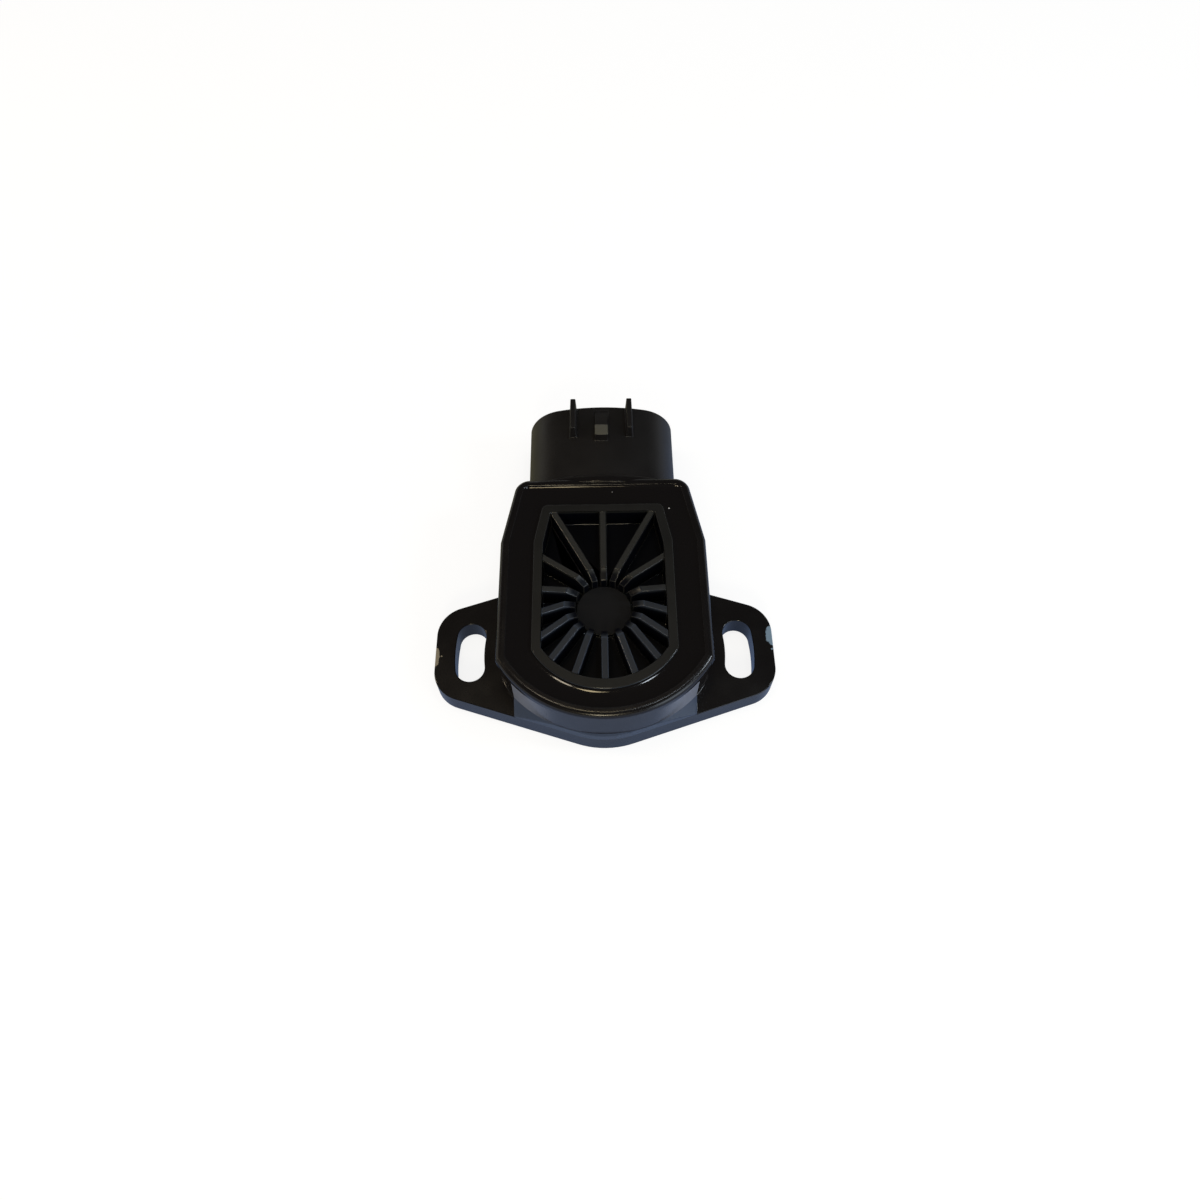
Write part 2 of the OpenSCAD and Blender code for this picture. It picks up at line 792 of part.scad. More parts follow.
module element_board() {
    color([0.85, 0.84, 0.8])
        translate([0, 0, board_z])
            linear_extrude(height = board_t)
                difference() {
                    polygon([[-board_hw, board_front_y], [board_hw, board_front_y],
                             [board_hw, board_far_y - board_cut], [board_hw - board_cut, board_far_y],
                             [-board_hw + board_cut, board_far_y], [-board_hw, board_far_y - board_cut]]);
                    circle(r = board_hole_r);
                }
}

// a pad at the far edge of the board, with a printed lead that runs to it: up beside the rings,
// across at the given height, and up again
module lead(x_from, y_from, y_across, x_pad) {
    x0 = min(x_from, x_pad);
    x1 = max(x_from, x_pad);
    translate([x_pad - pad_w / 2, pad_y]) square([pad_w, pad_len]);
    translate([x_pad - lead_w / 2, y_across]) square([lead_w, pad_y + pad_len / 2 - y_across]);
    translate([x0 - lead_w / 2, y_across]) square([x1 - x0 + lead_w, lead_w]);
    translate([x_from - lead_w / 2, y_from]) square([lead_w, y_across - y_from + lead_w]);
}

module resistor_track() {
    color([0.08, 0.08, 0.08])
        translate([0, 0, board_z - track_t])
            linear_extrude(height = track_t) {
                ring_sector(res_in_r, res_out_r, 90, track_half_angle);
                lead(-res_end_x, res_end_y, lead_row_y, 0);
                lead(res_end_x, res_end_y, lead_row_y + lead_pitch, pin_pitch);
            }
}

module collector_track() {
    color([0.75, 0.75, 0.72])
        translate([0, 0, board_z - track_t])
            linear_extrude(height = track_t)
                union() {
                    ring_sector(col_in_r, col_out_r, 90 + col_more / 2, track_half_angle + col_more / 2);
                    translate([-col_lead_x - lead_w / 2, 0]) square([col_lead_x - col_in_r, col_w]);
                    lead(-col_lead_x, 0, lead_row_y + 2 * lead_pitch, -pin_pitch);
                }
}

module rotor() {
    color([0.3, 0.28, 0.24])
        difference() {
            union() {
                translate([0, 0, journal_z]) cylinder(r = journal_r, h = disc_z - journal_z + eps);
                translate([0, 0, disc_z]) cylinder(r = disc_r, h = disc_t);
                ring(skirt_in_r, skirt_out_r, skirt_z, disc_z + eps);
                translate([0, 0, disc_top_z - eps]) cylinder(r = stem_r, h = stem_top_z - disc_top_z + eps);
                rotate([0, 0, lug_angle])
                    translate([disc_r - 1, -lug_w / 2, disc_z]) cube([lug_r - disc_r + 1, lug_w, disc_t]);
                rotate([0, 0, wiper_angle])
                    for (r = peg_places) {
                        translate([r, 0, disc_top_z - eps]) cylinder(r = peg_r, h = 2 * plate_t + eps);
                    }
            }
            translate([-drive_w / 2, -drive_l / 2, journal_z - 1])
                cube([drive_w, drive_l, drive_roof_z - journal_z + 1]);
        }
}

// sprung leaf along one side of the drive slot, which takes up the play of the driving tang
module drive_clip() {
    x = -drive_w / 2;
    end = drive_l / 2 - 0.3;
    flat = drive_l / 10;
    bend = end / 2;
    color([0.7, 0.7, 0.68])
        translate([0, 0, journal_z + 0.4])
            linear_extrude(height = drive_roof_z - journal_z - 1)
                polygon([[x, -end], [x + leaf_t, -end], [x + leaf_t, -bend],
                         [x + leaf_t + leaf_bulge, -flat], [x + leaf_t + leaf_bulge, flat],
                         [x + leaf_t, bend], [x + leaf_t, end], [x, end]]);
}

module wiper_plate() {
    start = col_in_r - 3 * peg_r;
    color([0.8, 0.65, 0.35])
        rotate([0, 0, wiper_angle])
            translate([0, 0, disc_top_z])
                linear_extrude(height = plate_t)
                    difference() {
                        translate([start, -plate_w / 2]) square([res_out_r + 0.4 - start, plate_w]);
                        for (r = peg_places) {
                            translate([r, 0]) circle(r = peg_r + 0.03);
                        }
                    }
}

// three sprung fingers side by side, rising from the plate to the underside of a track
module brush(r_mid) {
    low = disc_top_z + plate_t;
    foot = low + finger_t;
    back = plate_w / 2;
    tip = -back - finger_reach;
    touch = tip + finger_tip;
    color([0.85, 0.7, 0.4])
        rotate([0, 0, wiper_angle]) {
            across_x(r_mid, brush_w)
                polygon([[back - 0.6, low], [back - 0.05, low], [back - 0.05, foot], [back - 0.6, foot]]);
            for (i = [-1, 0, 1]) {
                across_x(r_mid + i * (brush_w - finger_w) / 2, finger_w)
                    polygon([[back - 0.05, low], [back - 0.05, foot], [-back, foot],
                             [touch, wiper_top_z], [tip, wiper_top_z], [tip, wiper_top_z - finger_t],
                             [touch - 0.05, wiper_top_z - finger_t], [-back - 0.1, low]]);
            }
        }
}

module resistor_brush() {
    brush(res_mid_r);
}

module collector_brush() {
    brush(col_mid_r);
}

// flat coiled strip: a spiral drawn on both sides of the strip, with its outer end bent outwards
module return_spring() {
    steps = 30 * spring_turns;
    grow = (spring_out_r - spring_in_r) / steps;
    turn = 360 * spring_turns / steps;
    far_r = spring_in_r + spring_strip_t;
    inner = [for (i = [0:steps]) (spring_in_r + i * grow) * [cos(i * turn), sin(i * turn)]];
    outer = [for (i = [1:steps]) let (j = steps - i)
             (far_r + j * grow) * [cos(j * turn), sin(j * turn)]];
    tail = [[spring_well_r + 0.5, 0], [spring_well_r + 0.5, -spring_strip_t],
            [spring_out_r + spring_strip_t, -spring_strip_t]];
    color([0.6, 0.6, 0.62])
        translate([0, 0, skirt_z])
            linear_extrude(height = spring_strip_h)
                polygon(concat(inner, tail, outer));
}

module thrust_washer() {
    color([0.9, 0.9, 0.86]) ring(stem_r + 0.15, washer_r, disc_top_z, disc_top_z + thrust_t);
}

// dished washer that presses the rotor down on its sleeve
module bias_washer() {
    z = disc_top_z + thrust_t + rest_gap;
    top = boss_z - rest_gap;
    color([0.65, 0.65, 0.67])
        rotate_extrude()
            polygon([[stem_r + 0.2, z], [stem_r + 0.5, z], [washer_r - 0.1, top - bias_t],
                     [washer_r - 0.1, top], [washer_r - 0.3, top], [stem_r + 0.2, z + bias_t]]);
}

module mounting_seal() {
    color([0.12, 0.12, 0.12])
        rotate_extrude()
            translate([(groove_in_r + groove_out_r) / 2, groove_h - seal_d / 2]) circle(r = seal_d / 2);
}

housing();
cover_plate();
potting_resin();
terminal_supply();
terminal_signal();
terminal_ground();
clip_supply();
clip_signal();
clip_ground();
element_board();
resistor_track();
collector_track();
rotor();
drive_clip();
wiper_plate();
resistor_brush();
collector_brush();
return_spring();
thrust_washer();
bias_washer();
mounting_seal();
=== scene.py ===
import json
import math

import bmesh
import bpy
import numpy as np
from bpy.props import FloatProperty, FloatVectorProperty, IntProperty, PointerProperty
from mathutils import Matrix, Vector

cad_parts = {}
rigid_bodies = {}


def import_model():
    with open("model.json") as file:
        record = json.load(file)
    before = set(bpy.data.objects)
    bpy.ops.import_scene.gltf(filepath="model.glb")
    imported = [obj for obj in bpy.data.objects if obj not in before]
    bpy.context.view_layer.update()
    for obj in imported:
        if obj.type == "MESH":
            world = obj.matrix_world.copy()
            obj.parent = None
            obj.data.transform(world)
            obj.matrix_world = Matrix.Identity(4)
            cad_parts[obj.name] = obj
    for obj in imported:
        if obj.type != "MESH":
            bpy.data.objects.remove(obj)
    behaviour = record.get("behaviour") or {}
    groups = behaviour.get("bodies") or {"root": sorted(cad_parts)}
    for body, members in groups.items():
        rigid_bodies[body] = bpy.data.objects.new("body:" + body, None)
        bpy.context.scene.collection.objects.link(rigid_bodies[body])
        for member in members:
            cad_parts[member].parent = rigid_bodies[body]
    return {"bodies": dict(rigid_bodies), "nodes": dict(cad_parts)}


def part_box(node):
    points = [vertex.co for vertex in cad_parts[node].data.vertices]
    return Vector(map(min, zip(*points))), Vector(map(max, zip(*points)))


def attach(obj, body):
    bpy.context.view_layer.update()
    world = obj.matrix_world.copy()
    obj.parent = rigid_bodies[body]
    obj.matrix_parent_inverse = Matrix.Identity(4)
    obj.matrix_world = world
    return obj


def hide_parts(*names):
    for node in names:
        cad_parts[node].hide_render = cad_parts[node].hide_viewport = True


bl_info = {
    "name": "Throttle position sensor dressing",
    "version": (1, 0, 0),
    "blender": (4, 5, 0),
    "location": "3D View > Sidebar > Sensor",
    "description": "Skins, resin, finishes, studio and camera for the throttle position sensor",
    "category": "Object",
}

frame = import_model()
MM = 0.001
RESIN_LOW, RESIN_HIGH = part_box("potting_resin")
# the floor lies just under the mounting face
FLOOR_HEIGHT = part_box("housing")[0].z - 0.05 * MM
# Y of the hub's middle and of the rim's far edge
HUB_CENTRE_Y = 5 * MM
RIM_FAR = 32.4 * MM

# points of the CAD closer than this are joined, and faces closer than this to flat made whole
JOIN_GAP = 1e-6
FLAT_ANGLE = math.radians(0.4)

# the resin's level under the top of its solid, the height and lengths of its waves, and how far
# it climbs the frame for a climb of 1 at the wall
RESIN_SAG = 0.05 * MM
WAVE_HEIGHT = 0.02 * MM
WAVE_LENGTH_X = 2.3 * MM
WAVE_LENGTH_Y = 3.1 * MM
FRAME_CLIMB = 0.7
RESIN_EDGE_ANGLE = math.radians(50)

# depth of the grain, scales of the noise in the gloss and at the edge of a ragged spot, and the
# width of a soft step from one finish to another
GRAIN_DEPTH = 0.02 * MM
WANDER_SCALE = 180
RAGGED_SCALE = 900
SOFT_STEP = 0.2 * MM

# nodes by finish: material slot of the record and name of the finish
FINISH_OF_NODE = {
    "terminal_supply": ("tinned_brass", "Tinned brass"),
    "terminal_signal": ("tinned_brass", "Tinned brass"),
    "terminal_ground": ("tinned_brass", "Tinned brass"),
    "clip_supply": ("spring_bronze", "Spring bronze"),
    "clip_signal": ("spring_bronze", "Spring bronze"),
    "clip_ground": ("spring_bronze", "Spring bronze"),
    "wiper_plate": ("spring_bronze", "Spring bronze"),
    "resistor_brush": ("spring_bronze", "Spring bronze"),
    "collector_brush": ("spring_bronze", "Spring bronze"),
    "element_board": ("board", "Track board"),
    "resistor_track": ("carbon_ink", "Carbon ink"),
    "collector_track": ("silver_ink", "Silver ink"),
    "rotor": ("rotor_plastic", "Rotor plastic"),
    "drive_clip": ("spring_steel", "Spring steel"),
    "return_spring": ("spring_steel", "Spring steel"),
    "bias_washer": ("spring_steel", "Spring steel"),
    "thrust_washer": ("washer_plastic", "Washer plastic"),
    "mounting_seal": ("rubber", "Seal rubber"),
}

# finishes without grain: name, colour, roughness and metallic share
PLAIN_FINISHES = (
    ("Tinned brass", (0.72, 0.70, 0.66), 0.28, 1.0),
    ("Spring bronze", (0.78, 0.52, 0.26), 0.25, 1.0),
    ("Track board", (0.72, 0.70, 0.64), 0.5, 0.0),
    ("Carbon ink", (0.02, 0.02, 0.02), 0.55, 0.0),
    ("Silver ink", (0.62, 0.61, 0.58), 0.45, 1.0),
    ("Spring steel", (0.60, 0.61, 0.63), 0.25, 1.0),
    ("Washer plastic", (0.80, 0.79, 0.74), 0.4, 0.0),
    ("Seal rubber", (0.02, 0.02, 0.021), 0.6, 0.0),
)
ROTOR_COLOUR = (0.30, 0.26, 0.19)

# patches of another colour, each an ellipse: X, Y and half widths along X and Y, in mm
RESIN_SPECKS = (
    (4.88, 31.2, 0.16, 0.16),
    (1.90, 29.17, 0.07, 0.07),
    (12.65, 25.22, 0.15, 0.15),
    (-10.54, 24.12, 0.13, 0.13),
    (-9.29, 22.98, 0.13, 0.13),
)
SPECK_DEPTH = 0.5
# knocked patches on the outer edges of the ears, with their height and the reach from it
LEFT_CHIPS = ((-31.4, -0.85, 0.85, 2.05), (-30.25, -0.72, 0.16, 0.16))
RIGHT_CHIPS = ((31.5, 2.75, 1.35, 2.2), (31.1, -0.15, 0.25, 0.2))
CHIP_HEIGHT = 3.9
CHIP_DEPTH = 1.5
# a painted highlight on the latch's flat top
LATCH_HIGHLIGHT = ((0, 42.65, 4.0, 1.25),)
LATCH_TOP = 16.2
LATCH_DEPTH = 0.3
# the face of the hub, kept lighter than the pockets' painted shade at its height
HUB_FACE = ((0, 5, 5.05, 5.05),)
HUB_TOP = 10.8
HUB_DEPTH = 0.4

# heights on the cover, in mm: deepest floor, foot and top of the ribs' painted shade and sheen,
# frame
POCKET_FLOOR = 10.0
RIB_FOOT = 13.6
RIB_TOP = 14.1
RIB_HIGHEST = 14.26
FRAME_FOOT = 14.30
FRAME_TOP = 14.4

# places painted in another colour or given less gloss, in mm: start, first and last full place
# and end along X (to both sides), Y and Z. The nose and the band's ends carry a painted reflection,
# the front ribs painted cool light; the latch ramp keeps its colour and only loses gloss.
NOSE_REFLECTION_BOX = ((-2, -1, 16.35, 16.45), (-20, -19, -7.5, -6.5), (4.42, 4.5, 6.3, 6.5))
BAND_ENDS_REFLECTION_BOX = ((8, 15, 16.35, 16.45), (-20, -19, -7.5, -6.5), (6.3, 6.5, 12.2, 12.3))
FRONT_RIBS_LIT_BOX = ((-2, -1, 12.6, 12.8), (-13, -12.5, 4, 10), (13.2, 13.9, 14.27, 14.30))
LATCH_RAMP_BOX = ((-2, -1, 1.35, 1.45), (43.9, 44.0, 48.8, 49.0), (13.9, 14.1, 16.1, 16.3))

# gloss (specular level) of plain plastic, of the matte places, the pockets and the cover's tops
PLASTIC_GLOSS = 0.5
MATTE_GLOSS = 0.15
POCKET_GLOSS = 0.12
COVER_GLOSS = 0.38

# what the floor mirrors in front of the part and behind it on the left, and where it changes
FLOOR_COOL = (0.13, 0.215, 0.42)
FLOOR_WARM = (0.16, 0.15, 0.05)
WARM_DIRECTION = (-0.7, 0.7, 0)
WARM_START = 15 * MM
WARM_END = 45 * MM
# strength of the floor's own glow, and its share of what is seen of the floor
FLOOR_GLOW = 1.2
FLOOR_GLOW_SHARE = 0.7

# the room in gloss: level at the horizon and above, and the heights of a direction between them
HORIZON_LEVEL = 0.8
SKY_LEVEL = 0.024
HORIZON_HEIGHT = 0.02
SKY_HEIGHT = 0.30

# lamps: name, place, width, power, colour; all turned towards the same point
LAMP_TARGET = (0, 10 * MM, 8 * MM)
LAMPS = (
    ("Warm lamp left", (-0.36, 0.06, 0.22), 0.06, 0.25, (1.0, 0.80, 0.55)),
    ("Cool lamp right", (0.34, -0.02, 0.26), 0.07, 0.3, (0.80, 0.90, 1.0)),
    ("Warm lamp above", (-0.13, 0.07, 0.60), 0.07, 0.18, (1.0, 0.86, 0.66)),
    ("Cool lamp above", (0.15, 0.04, 0.60), 0.06, 0.20, (0.82, 0.91, 1.0)),
    ("Cool lamp in front", (0.30, -0.26, 0.16), 0.22, 0.40, (0.75, 0.87, 1.0)),
    ("Warm lamp over the rim", (-0.03, 0.05, 0.55), 0.06, 0.12, (1.0, 0.82, 0.5)),
    ("Front lamp", (-0.02, -0.42, 0.30), 0.10, 0.5, (1.0, 0.88, 0.62)),
)


class SkinSizes(bpy.types.PropertyGroup):
    edge_round: FloatProperty(
        name="Edge rounding", description="Rounding of the moulded edges",
        default=0.14 * MM, min=0, unit="LENGTH")
    edge_angle: FloatProperty(
        name="Edge angle", description="Faces that meet at more than this angle make an edge",
        default=math.radians(32), subtype="ANGLE")


class ResinSizes(bpy.types.PropertyGroup):
    around: IntProperty(
        name="Steps around", description="Points round the ring of resin", default=480, min=60)
    across: IntProperty(
        name="Steps across", description="Points from wall to frame", default=26, min=8)
    climb: FloatProperty(
        name="Climb", description="How far the resin creeps up the walls that it touches",
        default=0.28 * MM, min=0, unit="LENGTH")
    creep: FloatProperty(
        name="Creep width", description="Distance in which the climb dies away",
        default=0.5 * MM, min=0.1 * MM, unit="LENGTH")
    kink: FloatProperty(
        name="Kink", description="Y where the walls start to taper",
        default=18.2 * MM, unit="LENGTH")
    taper: FloatProperty(
        name="Taper", description="Taper of the walls", default=math.radians(10.9), subtype="ANGLE")
    corner: FloatProperty(
        name="Corner", description="Radius of the far corners of the resin",
        default=1.3 * MM, unit="LENGTH")
    front_centre: FloatProperty(
        name="Front centre", description="Y of the centre of the rounded front", default=4.95 * MM,
        unit="LENGTH")
    frame_half: FloatProperty(
        name="Frame half width", description="Half width over the cover's frame",
        default=12.9 * MM, unit="LENGTH")
    frame_far: FloatProperty(
        name="Frame far edge", description="Y of the far edge of the cover's frame",
        default=26.1 * MM, unit="LENGTH")
    frame_kink: FloatProperty(
        name="Frame kink", description="Y where the frame starts to taper", default=18.0 * MM,
        unit="LENGTH")
    frame_corner: FloatProperty(
        name="Frame corner", description="Radius of the frame's far corners", default=1.2 * MM,
        unit="LENGTH")
    frame_front: FloatProperty(
        name="Frame front", description="Radius of the frame's rounded front", default=14.7 * MM,
        unit="LENGTH")
    frame_front_centre: FloatProperty(
        name="Frame front centre", description="Y of the centre of the frame's rounded front",
        default=2.7 * MM, unit="LENGTH")


class FinishColours(bpy.types.PropertyGroup):
    housing: FloatVectorProperty(
        name="Housing", description="Black moulding compound", subtype="COLOR",
        default=(0.006, 0.005, 0.005), size=3, min=0, max=1)
    # painted reflection: the nose slope is coloured blue-grey as if it mirrored the lit front wall
    nose: FloatVectorProperty(
        name="Nose", description="Matte nose block between the ears", subtype="COLOR",
        default=(0.050, 0.066, 0.106), size=3, min=0, max=1)
    # painted reflection: the band's ends are pale blue-grey as if they mirrored the white floor in
    # front
    band_end_reflection: FloatVectorProperty(
        name="Band ends", description="Matte ends of the band over the nose block", subtype="COLOR",
        default=(0.19, 0.21, 0.27), size=3, min=0, max=1)
    cover: FloatVectorProperty(
        name="Cover", description="Satin black of the ribbed cover", subtype="COLOR",
        default=(0.008, 0.008, 0.0075), size=3, min=0, max=1)
    # painted sheen: the rib tops lighter than the frame
    rib_top_sheen: FloatVectorProperty(
        name="Rib tops", description="Rubbed tops of the cover's ribs", subtype="COLOR",
        default=(0.020, 0.020, 0.018), size=3, min=0, max=1)
    # painted cool light: bluish tops and upper sides of the ribs in the front half, lit from the
    # front
    front_rib_cool_light: FloatVectorProperty(
        name="Front ribs", description="Bluish tops of the ribs in the front half", subtype="COLOR",
        default=(0.017, 0.0208, 0.028), size=3, min=0, max=1)
    # painted glints: blue-white edges of the ribs in the front half
    front_rib_edge_glint: FloatVectorProperty(
        name="Front rib edges", description="Bluish edges of the ribs in the front half",
        subtype="COLOR", default=(0.032, 0.040, 0.056), size=3, min=0, max=1)
    # painted shade: the pockets between the ribs and the ribs' sides are darkened, bluish, where
    # shade falls
    pocket_shade: FloatVectorProperty(
        name="Pockets", description="Clean black between the ribs", subtype="COLOR",
        default=(0.0012, 0.0016, 0.0040), size=3, min=0, max=1)
    # the hub's face, near the cover's own colour, lifted out of the pockets' painted shade
    hub: FloatVectorProperty(
        name="Hub", description="Worn face of the hub", subtype="COLOR",
        default=(0.0095, 0.0095, 0.0105), size=3, min=0, max=1)
    resin: FloatVectorProperty(
        name="Resin", description="Black potting resin", subtype="COLOR",
        default=(0.0065, 0.0056, 0.0056), size=3, min=0, max=1)
    # a real knocked chip; its warm tint is painted warm light from the left
    left_chip_and_warm_light: FloatVectorProperty(
        name="Left chip", description="Bruised plastic of the left ear", subtype="COLOR",
        default=(0.26, 0.225, 0.165), size=3, min=0, max=1)
    # a real knocked chip; its blue tint is painted cool light from the right
    right_chip_and_cool_light: FloatVectorProperty(
        name="Right chip", description="Bruised plastic of the right ear", subtype="COLOR",
        default=(0.20, 0.28, 0.36), size=3, min=0, max=1)
    # painted highlight: the latch's flat top lighter and warm
    latch_highlight: FloatVectorProperty(
        name="Latch rub", description="Rubbed flat of the latch", subtype="COLOR",
        default=(0.075, 0.072, 0.055), size=3, min=0, max=1)
    speck: FloatVectorProperty(
        name="Specks", description="Pale specks in the resin", subtype="COLOR",
        default=(0.5, 0.5, 0.5), size=3, min=0, max=1)
    edge: FloatVectorProperty(
        name="Cover edges", description="Rounded edges of the cover, smoother than its faces",
        subtype="COLOR", default=(0.014, 0.014, 0.013), size=3, min=0, max=1)


class StudioSizes(bpy.types.PropertyGroup):
    camera_place: FloatVectorProperty(
        name="Camera place", description="Where the camera stands", subtype="TRANSLATION",
        default=(-0.728 * MM, -74.61 * MM, 158.37 * MM), size=3)
    camera_tilt: FloatProperty(
        name="Camera tilt", description="Turn of the camera up from straight down",
        default=math.radians(29), subtype="ANGLE")
    camera_roll: FloatProperty(
        name="Camera roll", description="Turn of the camera about its own axis",
        default=-0.014, subtype="ANGLE")
    lens: FloatProperty(
        name="Lens", description="Focal length on a 36 mm sensor", default=27.57, min=1)
    floor_half: FloatProperty(
        name="Floor half width", description="Half width of the floor", default=3, unit="LENGTH")
    level: FloatProperty(
        name="Room level", description="Even light of the room on the object", default=0.36, min=0)


def clear_scene():
    """Removes what the start-up file holds apart from the loaded frame."""
    keep = set(frame["nodes"].values()) | set(frame["bodies"].values())
    for obj in list(bpy.data.objects):
        if obj not in keep:
            bpy.data.objects.remove(obj)


def shade_by_angle(mesh, angle):
    """Smooth shading apart from the edges where faces meet at more than the angle."""
    mesh.polygons.foreach_set("use_smooth", np.ones(len(mesh.polygons), bool))
    mesh.set_sharp_from_angle(angle=angle)


def merged_copy(node, name):
    """A copy of a CAD node with its triangles joined and its flat faces made whole."""
    mesh = frame["nodes"][node].data.copy()
    mesh.name = name
    work = bmesh.new()
    work.from_mesh(mesh)
    bmesh.ops.remove_doubles(work, verts=work.verts, dist=JOIN_GAP)
    bmesh.ops.dissolve_limit(
        work, angle_limit=FLAT_ANGLE, verts=work.verts, edges=work.edges)
    work.to_mesh(mesh)
    work.free()
    obj = bpy.data.objects.new(name, mesh)
    bpy.context.scene.collection.objects.link(obj)
    return obj


def moulded_skin(node, name, body, face_finish, edge_finish, sizes):
    """Stands for a CAD node: the same shape with its moulded edges rounded by a small bevel, which
    has a finish of its own."""
    skin = merged_copy(node, name)
    shade_by_angle(skin.data, sizes.edge_angle)
    bevel = skin.modifiers.new("Moulded edges", "BEVEL")
    bevel.width = sizes.edge_round
    bevel.segments = 2
    bevel.limit_method = "ANGLE"
    bevel.angle_limit = sizes.edge_angle
    bevel.use_clamp_overlap = False
    bevel.material = 1
    even = skin.modifiers.new("Flat faces stay flat", "WEIGHTED_NORMAL")
    even.mode = "FACE_AREA"
    even.weight = 50
    even.keep_sharp = True
    skin.data.materials.clear()
    skin.data.materials.append(face_finish)
    skin.data.materials.append(edge_finish)
    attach(skin, body)
    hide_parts(node)
    return skin


def wall_reach(angle, centre_y, half, kink, taper, far, corner, front_r, front_y):
    """Distance from (0, centre_y) to the outline in each direction.

    The outline is the nearest of its straight walls, each met where the ray's share along the
    wall's normal uses up the wall's distance. Ahead of the front's centre it is the circle's far
    meeting point, and in the far corners the meeting point with the corner's circle."""
    across, along = np.cos(angle), np.sin(angle)
    side_x = np.abs(across)
    slant = half * math.cos(taper) + kink * math.sin(taper)
    reach = np.full(angle.shape, np.inf)
    for nx, ny, distance in ((1, 0, half), (math.cos(taper), math.sin(taper), slant), (0, 1, far)):
        share = side_x * nx + along * ny
        room = distance - centre_y * ny
        reach = np.where(share > 1e-9, np.minimum(reach, room / np.maximum(share, 1e-9)), reach)

    def circle(cx, cy, r):
        towards = side_x * cx + along * (cy - centre_y)
        gap = cx ** 2 + (cy - centre_y) ** 2 - r ** 2
        return towards + np.sqrt(np.maximum(towards ** 2 - gap, 0)), towards ** 2 > gap

    front, met = circle(0, front_y, front_r)
    ahead = met & (centre_y + front * along < front_y)
    reach = np.where(ahead, np.minimum(reach, front), reach)
    corner_y = far - corner
    corner_x = (slant - corner - corner_y * math.sin(taper)) / math.cos(taper)
    rounded, met = circle(corner_x, corner_y, corner)
    x, y = rounded * side_x - corner_x, centre_y + rounded * along - corner_y
    inside = met & (x > 0) & (y > x * math.tan(taper))
    return np.where(inside, rounded, reach)


def grid_faces(rows, columns):
    """Quads of a grid that closes on itself both ways."""
    i = np.arange(rows)[:, None]
    j = np.arange(columns)[None, :]
    k, l = (i + 1) % rows, (j + 1) % columns
    faces = np.stack([i * columns + j, k * columns + j, k * columns + l, i * columns + l], -1)
    return faces.reshape(-1, 4)


def mesh_from_arrays(name, points, faces):
    """A mesh object at the origin from arrays of points and quads, with smooth shading."""
    mesh = bpy.data.meshes.new(name)
    mesh.from_pydata(points.reshape(-1, 3).tolist(), [], faces.tolist())
    mesh.polygons.foreach_set("use_smooth", np.ones(len(mesh.polygons), bool))
    mesh.update()
    obj = bpy.data.objects.new(name, mesh)
    bpy.context.scene.collection.objects.link(obj)
    return obj


def resin_points(sizes):
    """Points of the resin ring by direction and by place across, as (around, across + 2, 3).

    The top runs straight from the housing's wall to the frame. Its height is the resin's level plus
    the climb times the falling exponential of the distance to each wall, and it dips very slightly
    in broad waves. The last two columns are the ring's foot at the frame and at the wall."""
    centre_y = HUB_CENTRE_Y
    angle = np.linspace(0, 2 * math.pi, sizes.around, endpoint=False)
    half, far = RESIN_HIGH.x, RESIN_HIGH.y
    outer = wall_reach(
        angle, centre_y, half, sizes.kink, sizes.taper, far, sizes.corner,
        sizes.front_centre - RESIN_LOW.y, sizes.front_centre)
    inner = wall_reach(
        angle, centre_y, sizes.frame_half, sizes.frame_kink, sizes.taper, sizes.frame_far,
        sizes.frame_corner, sizes.frame_front, sizes.frame_front_centre)
    even = np.linspace(0, 1, sizes.across)
    part = 0.5 - 0.5 * np.cos(math.pi * even)
    reach = outer[:, None] + (inner - outer)[:, None] * part[None, :]
    to_wall = outer[:, None] - reach
    to_frame = reach - inner[:, None]
    x = reach * np.cos(angle)[:, None]
    y = centre_y + reach * np.sin(angle)[:, None]
    waves = WAVE_HEIGHT * (np.sin(x / WAVE_LENGTH_X + 1) * np.cos(y / WAVE_LENGTH_Y))
    fall = np.exp(-to_wall / sizes.creep) + FRAME_CLIMB * np.exp(-to_frame / sizes.creep)
    z = RESIN_HIGH.z - RESIN_SAG + waves + sizes.climb * fall
    foot = np.full_like(outer, RESIN_LOW.z)
    top = np.stack([x, y, z], -1)
    ends = np.stack([np.stack([top[:, -1, 0], top[:, -1, 1], foot], -1),
                     np.stack([top[:, 0, 0], top[:, 0, 1], foot], -1)], 1)
    return np.concatenate([top, ends], 1)


def group_socket(group, name, direction, kind, default=None):
    """Adds a named socket to a node group."""
    made = group.interface.new_socket(name=name, in_out=direction, socket_type=kind)
    if default is not None:
        made.default_value = default
    return made


def calculator(nodes, operation, kind="ShaderNodeMath"):
    """A new node that calculates with numbers or, as ShaderNodeVectorMath, with vectors."""
    made = nodes.new(kind)
    made.operation = operation
    return made


def colour_mix(nodes, first, second):
    """A new node that mixes two colours."""
    made = nodes.new("ShaderNodeMix")
    made.data_type = "RGBA"
    made.inputs["A"].default_value = (*first, 1)
    made.inputs["B"].default_value = (*second, 1)
    return made


def own_place(nodes, links):
    """A new node that splits the place on a piece, as it was modelled, into X, Y and Z."""
    place = nodes.new("ShaderNodeTexCoord")
    split = nodes.new("ShaderNodeSeparateXYZ")
    links.new(place.outputs["Object"], split.inputs["Vector"])
    return split


def mapped(nodes, links, value, start, end, at_start=0.0, at_end=1.0):
    """A value's share of the way from start to end, as a number from at_start to at_end."""
    span = nodes.new("ShaderNodeMapRange")
    span.inputs["From Min"].default_value = start
    span.inputs["From Max"].default_value = end
    span.inputs["To Min"].default_value = at_start
    span.inputs["To Max"].default_value = at_end
    links.new(value, span.inputs["Value"])
    return span.outputs["Result"]


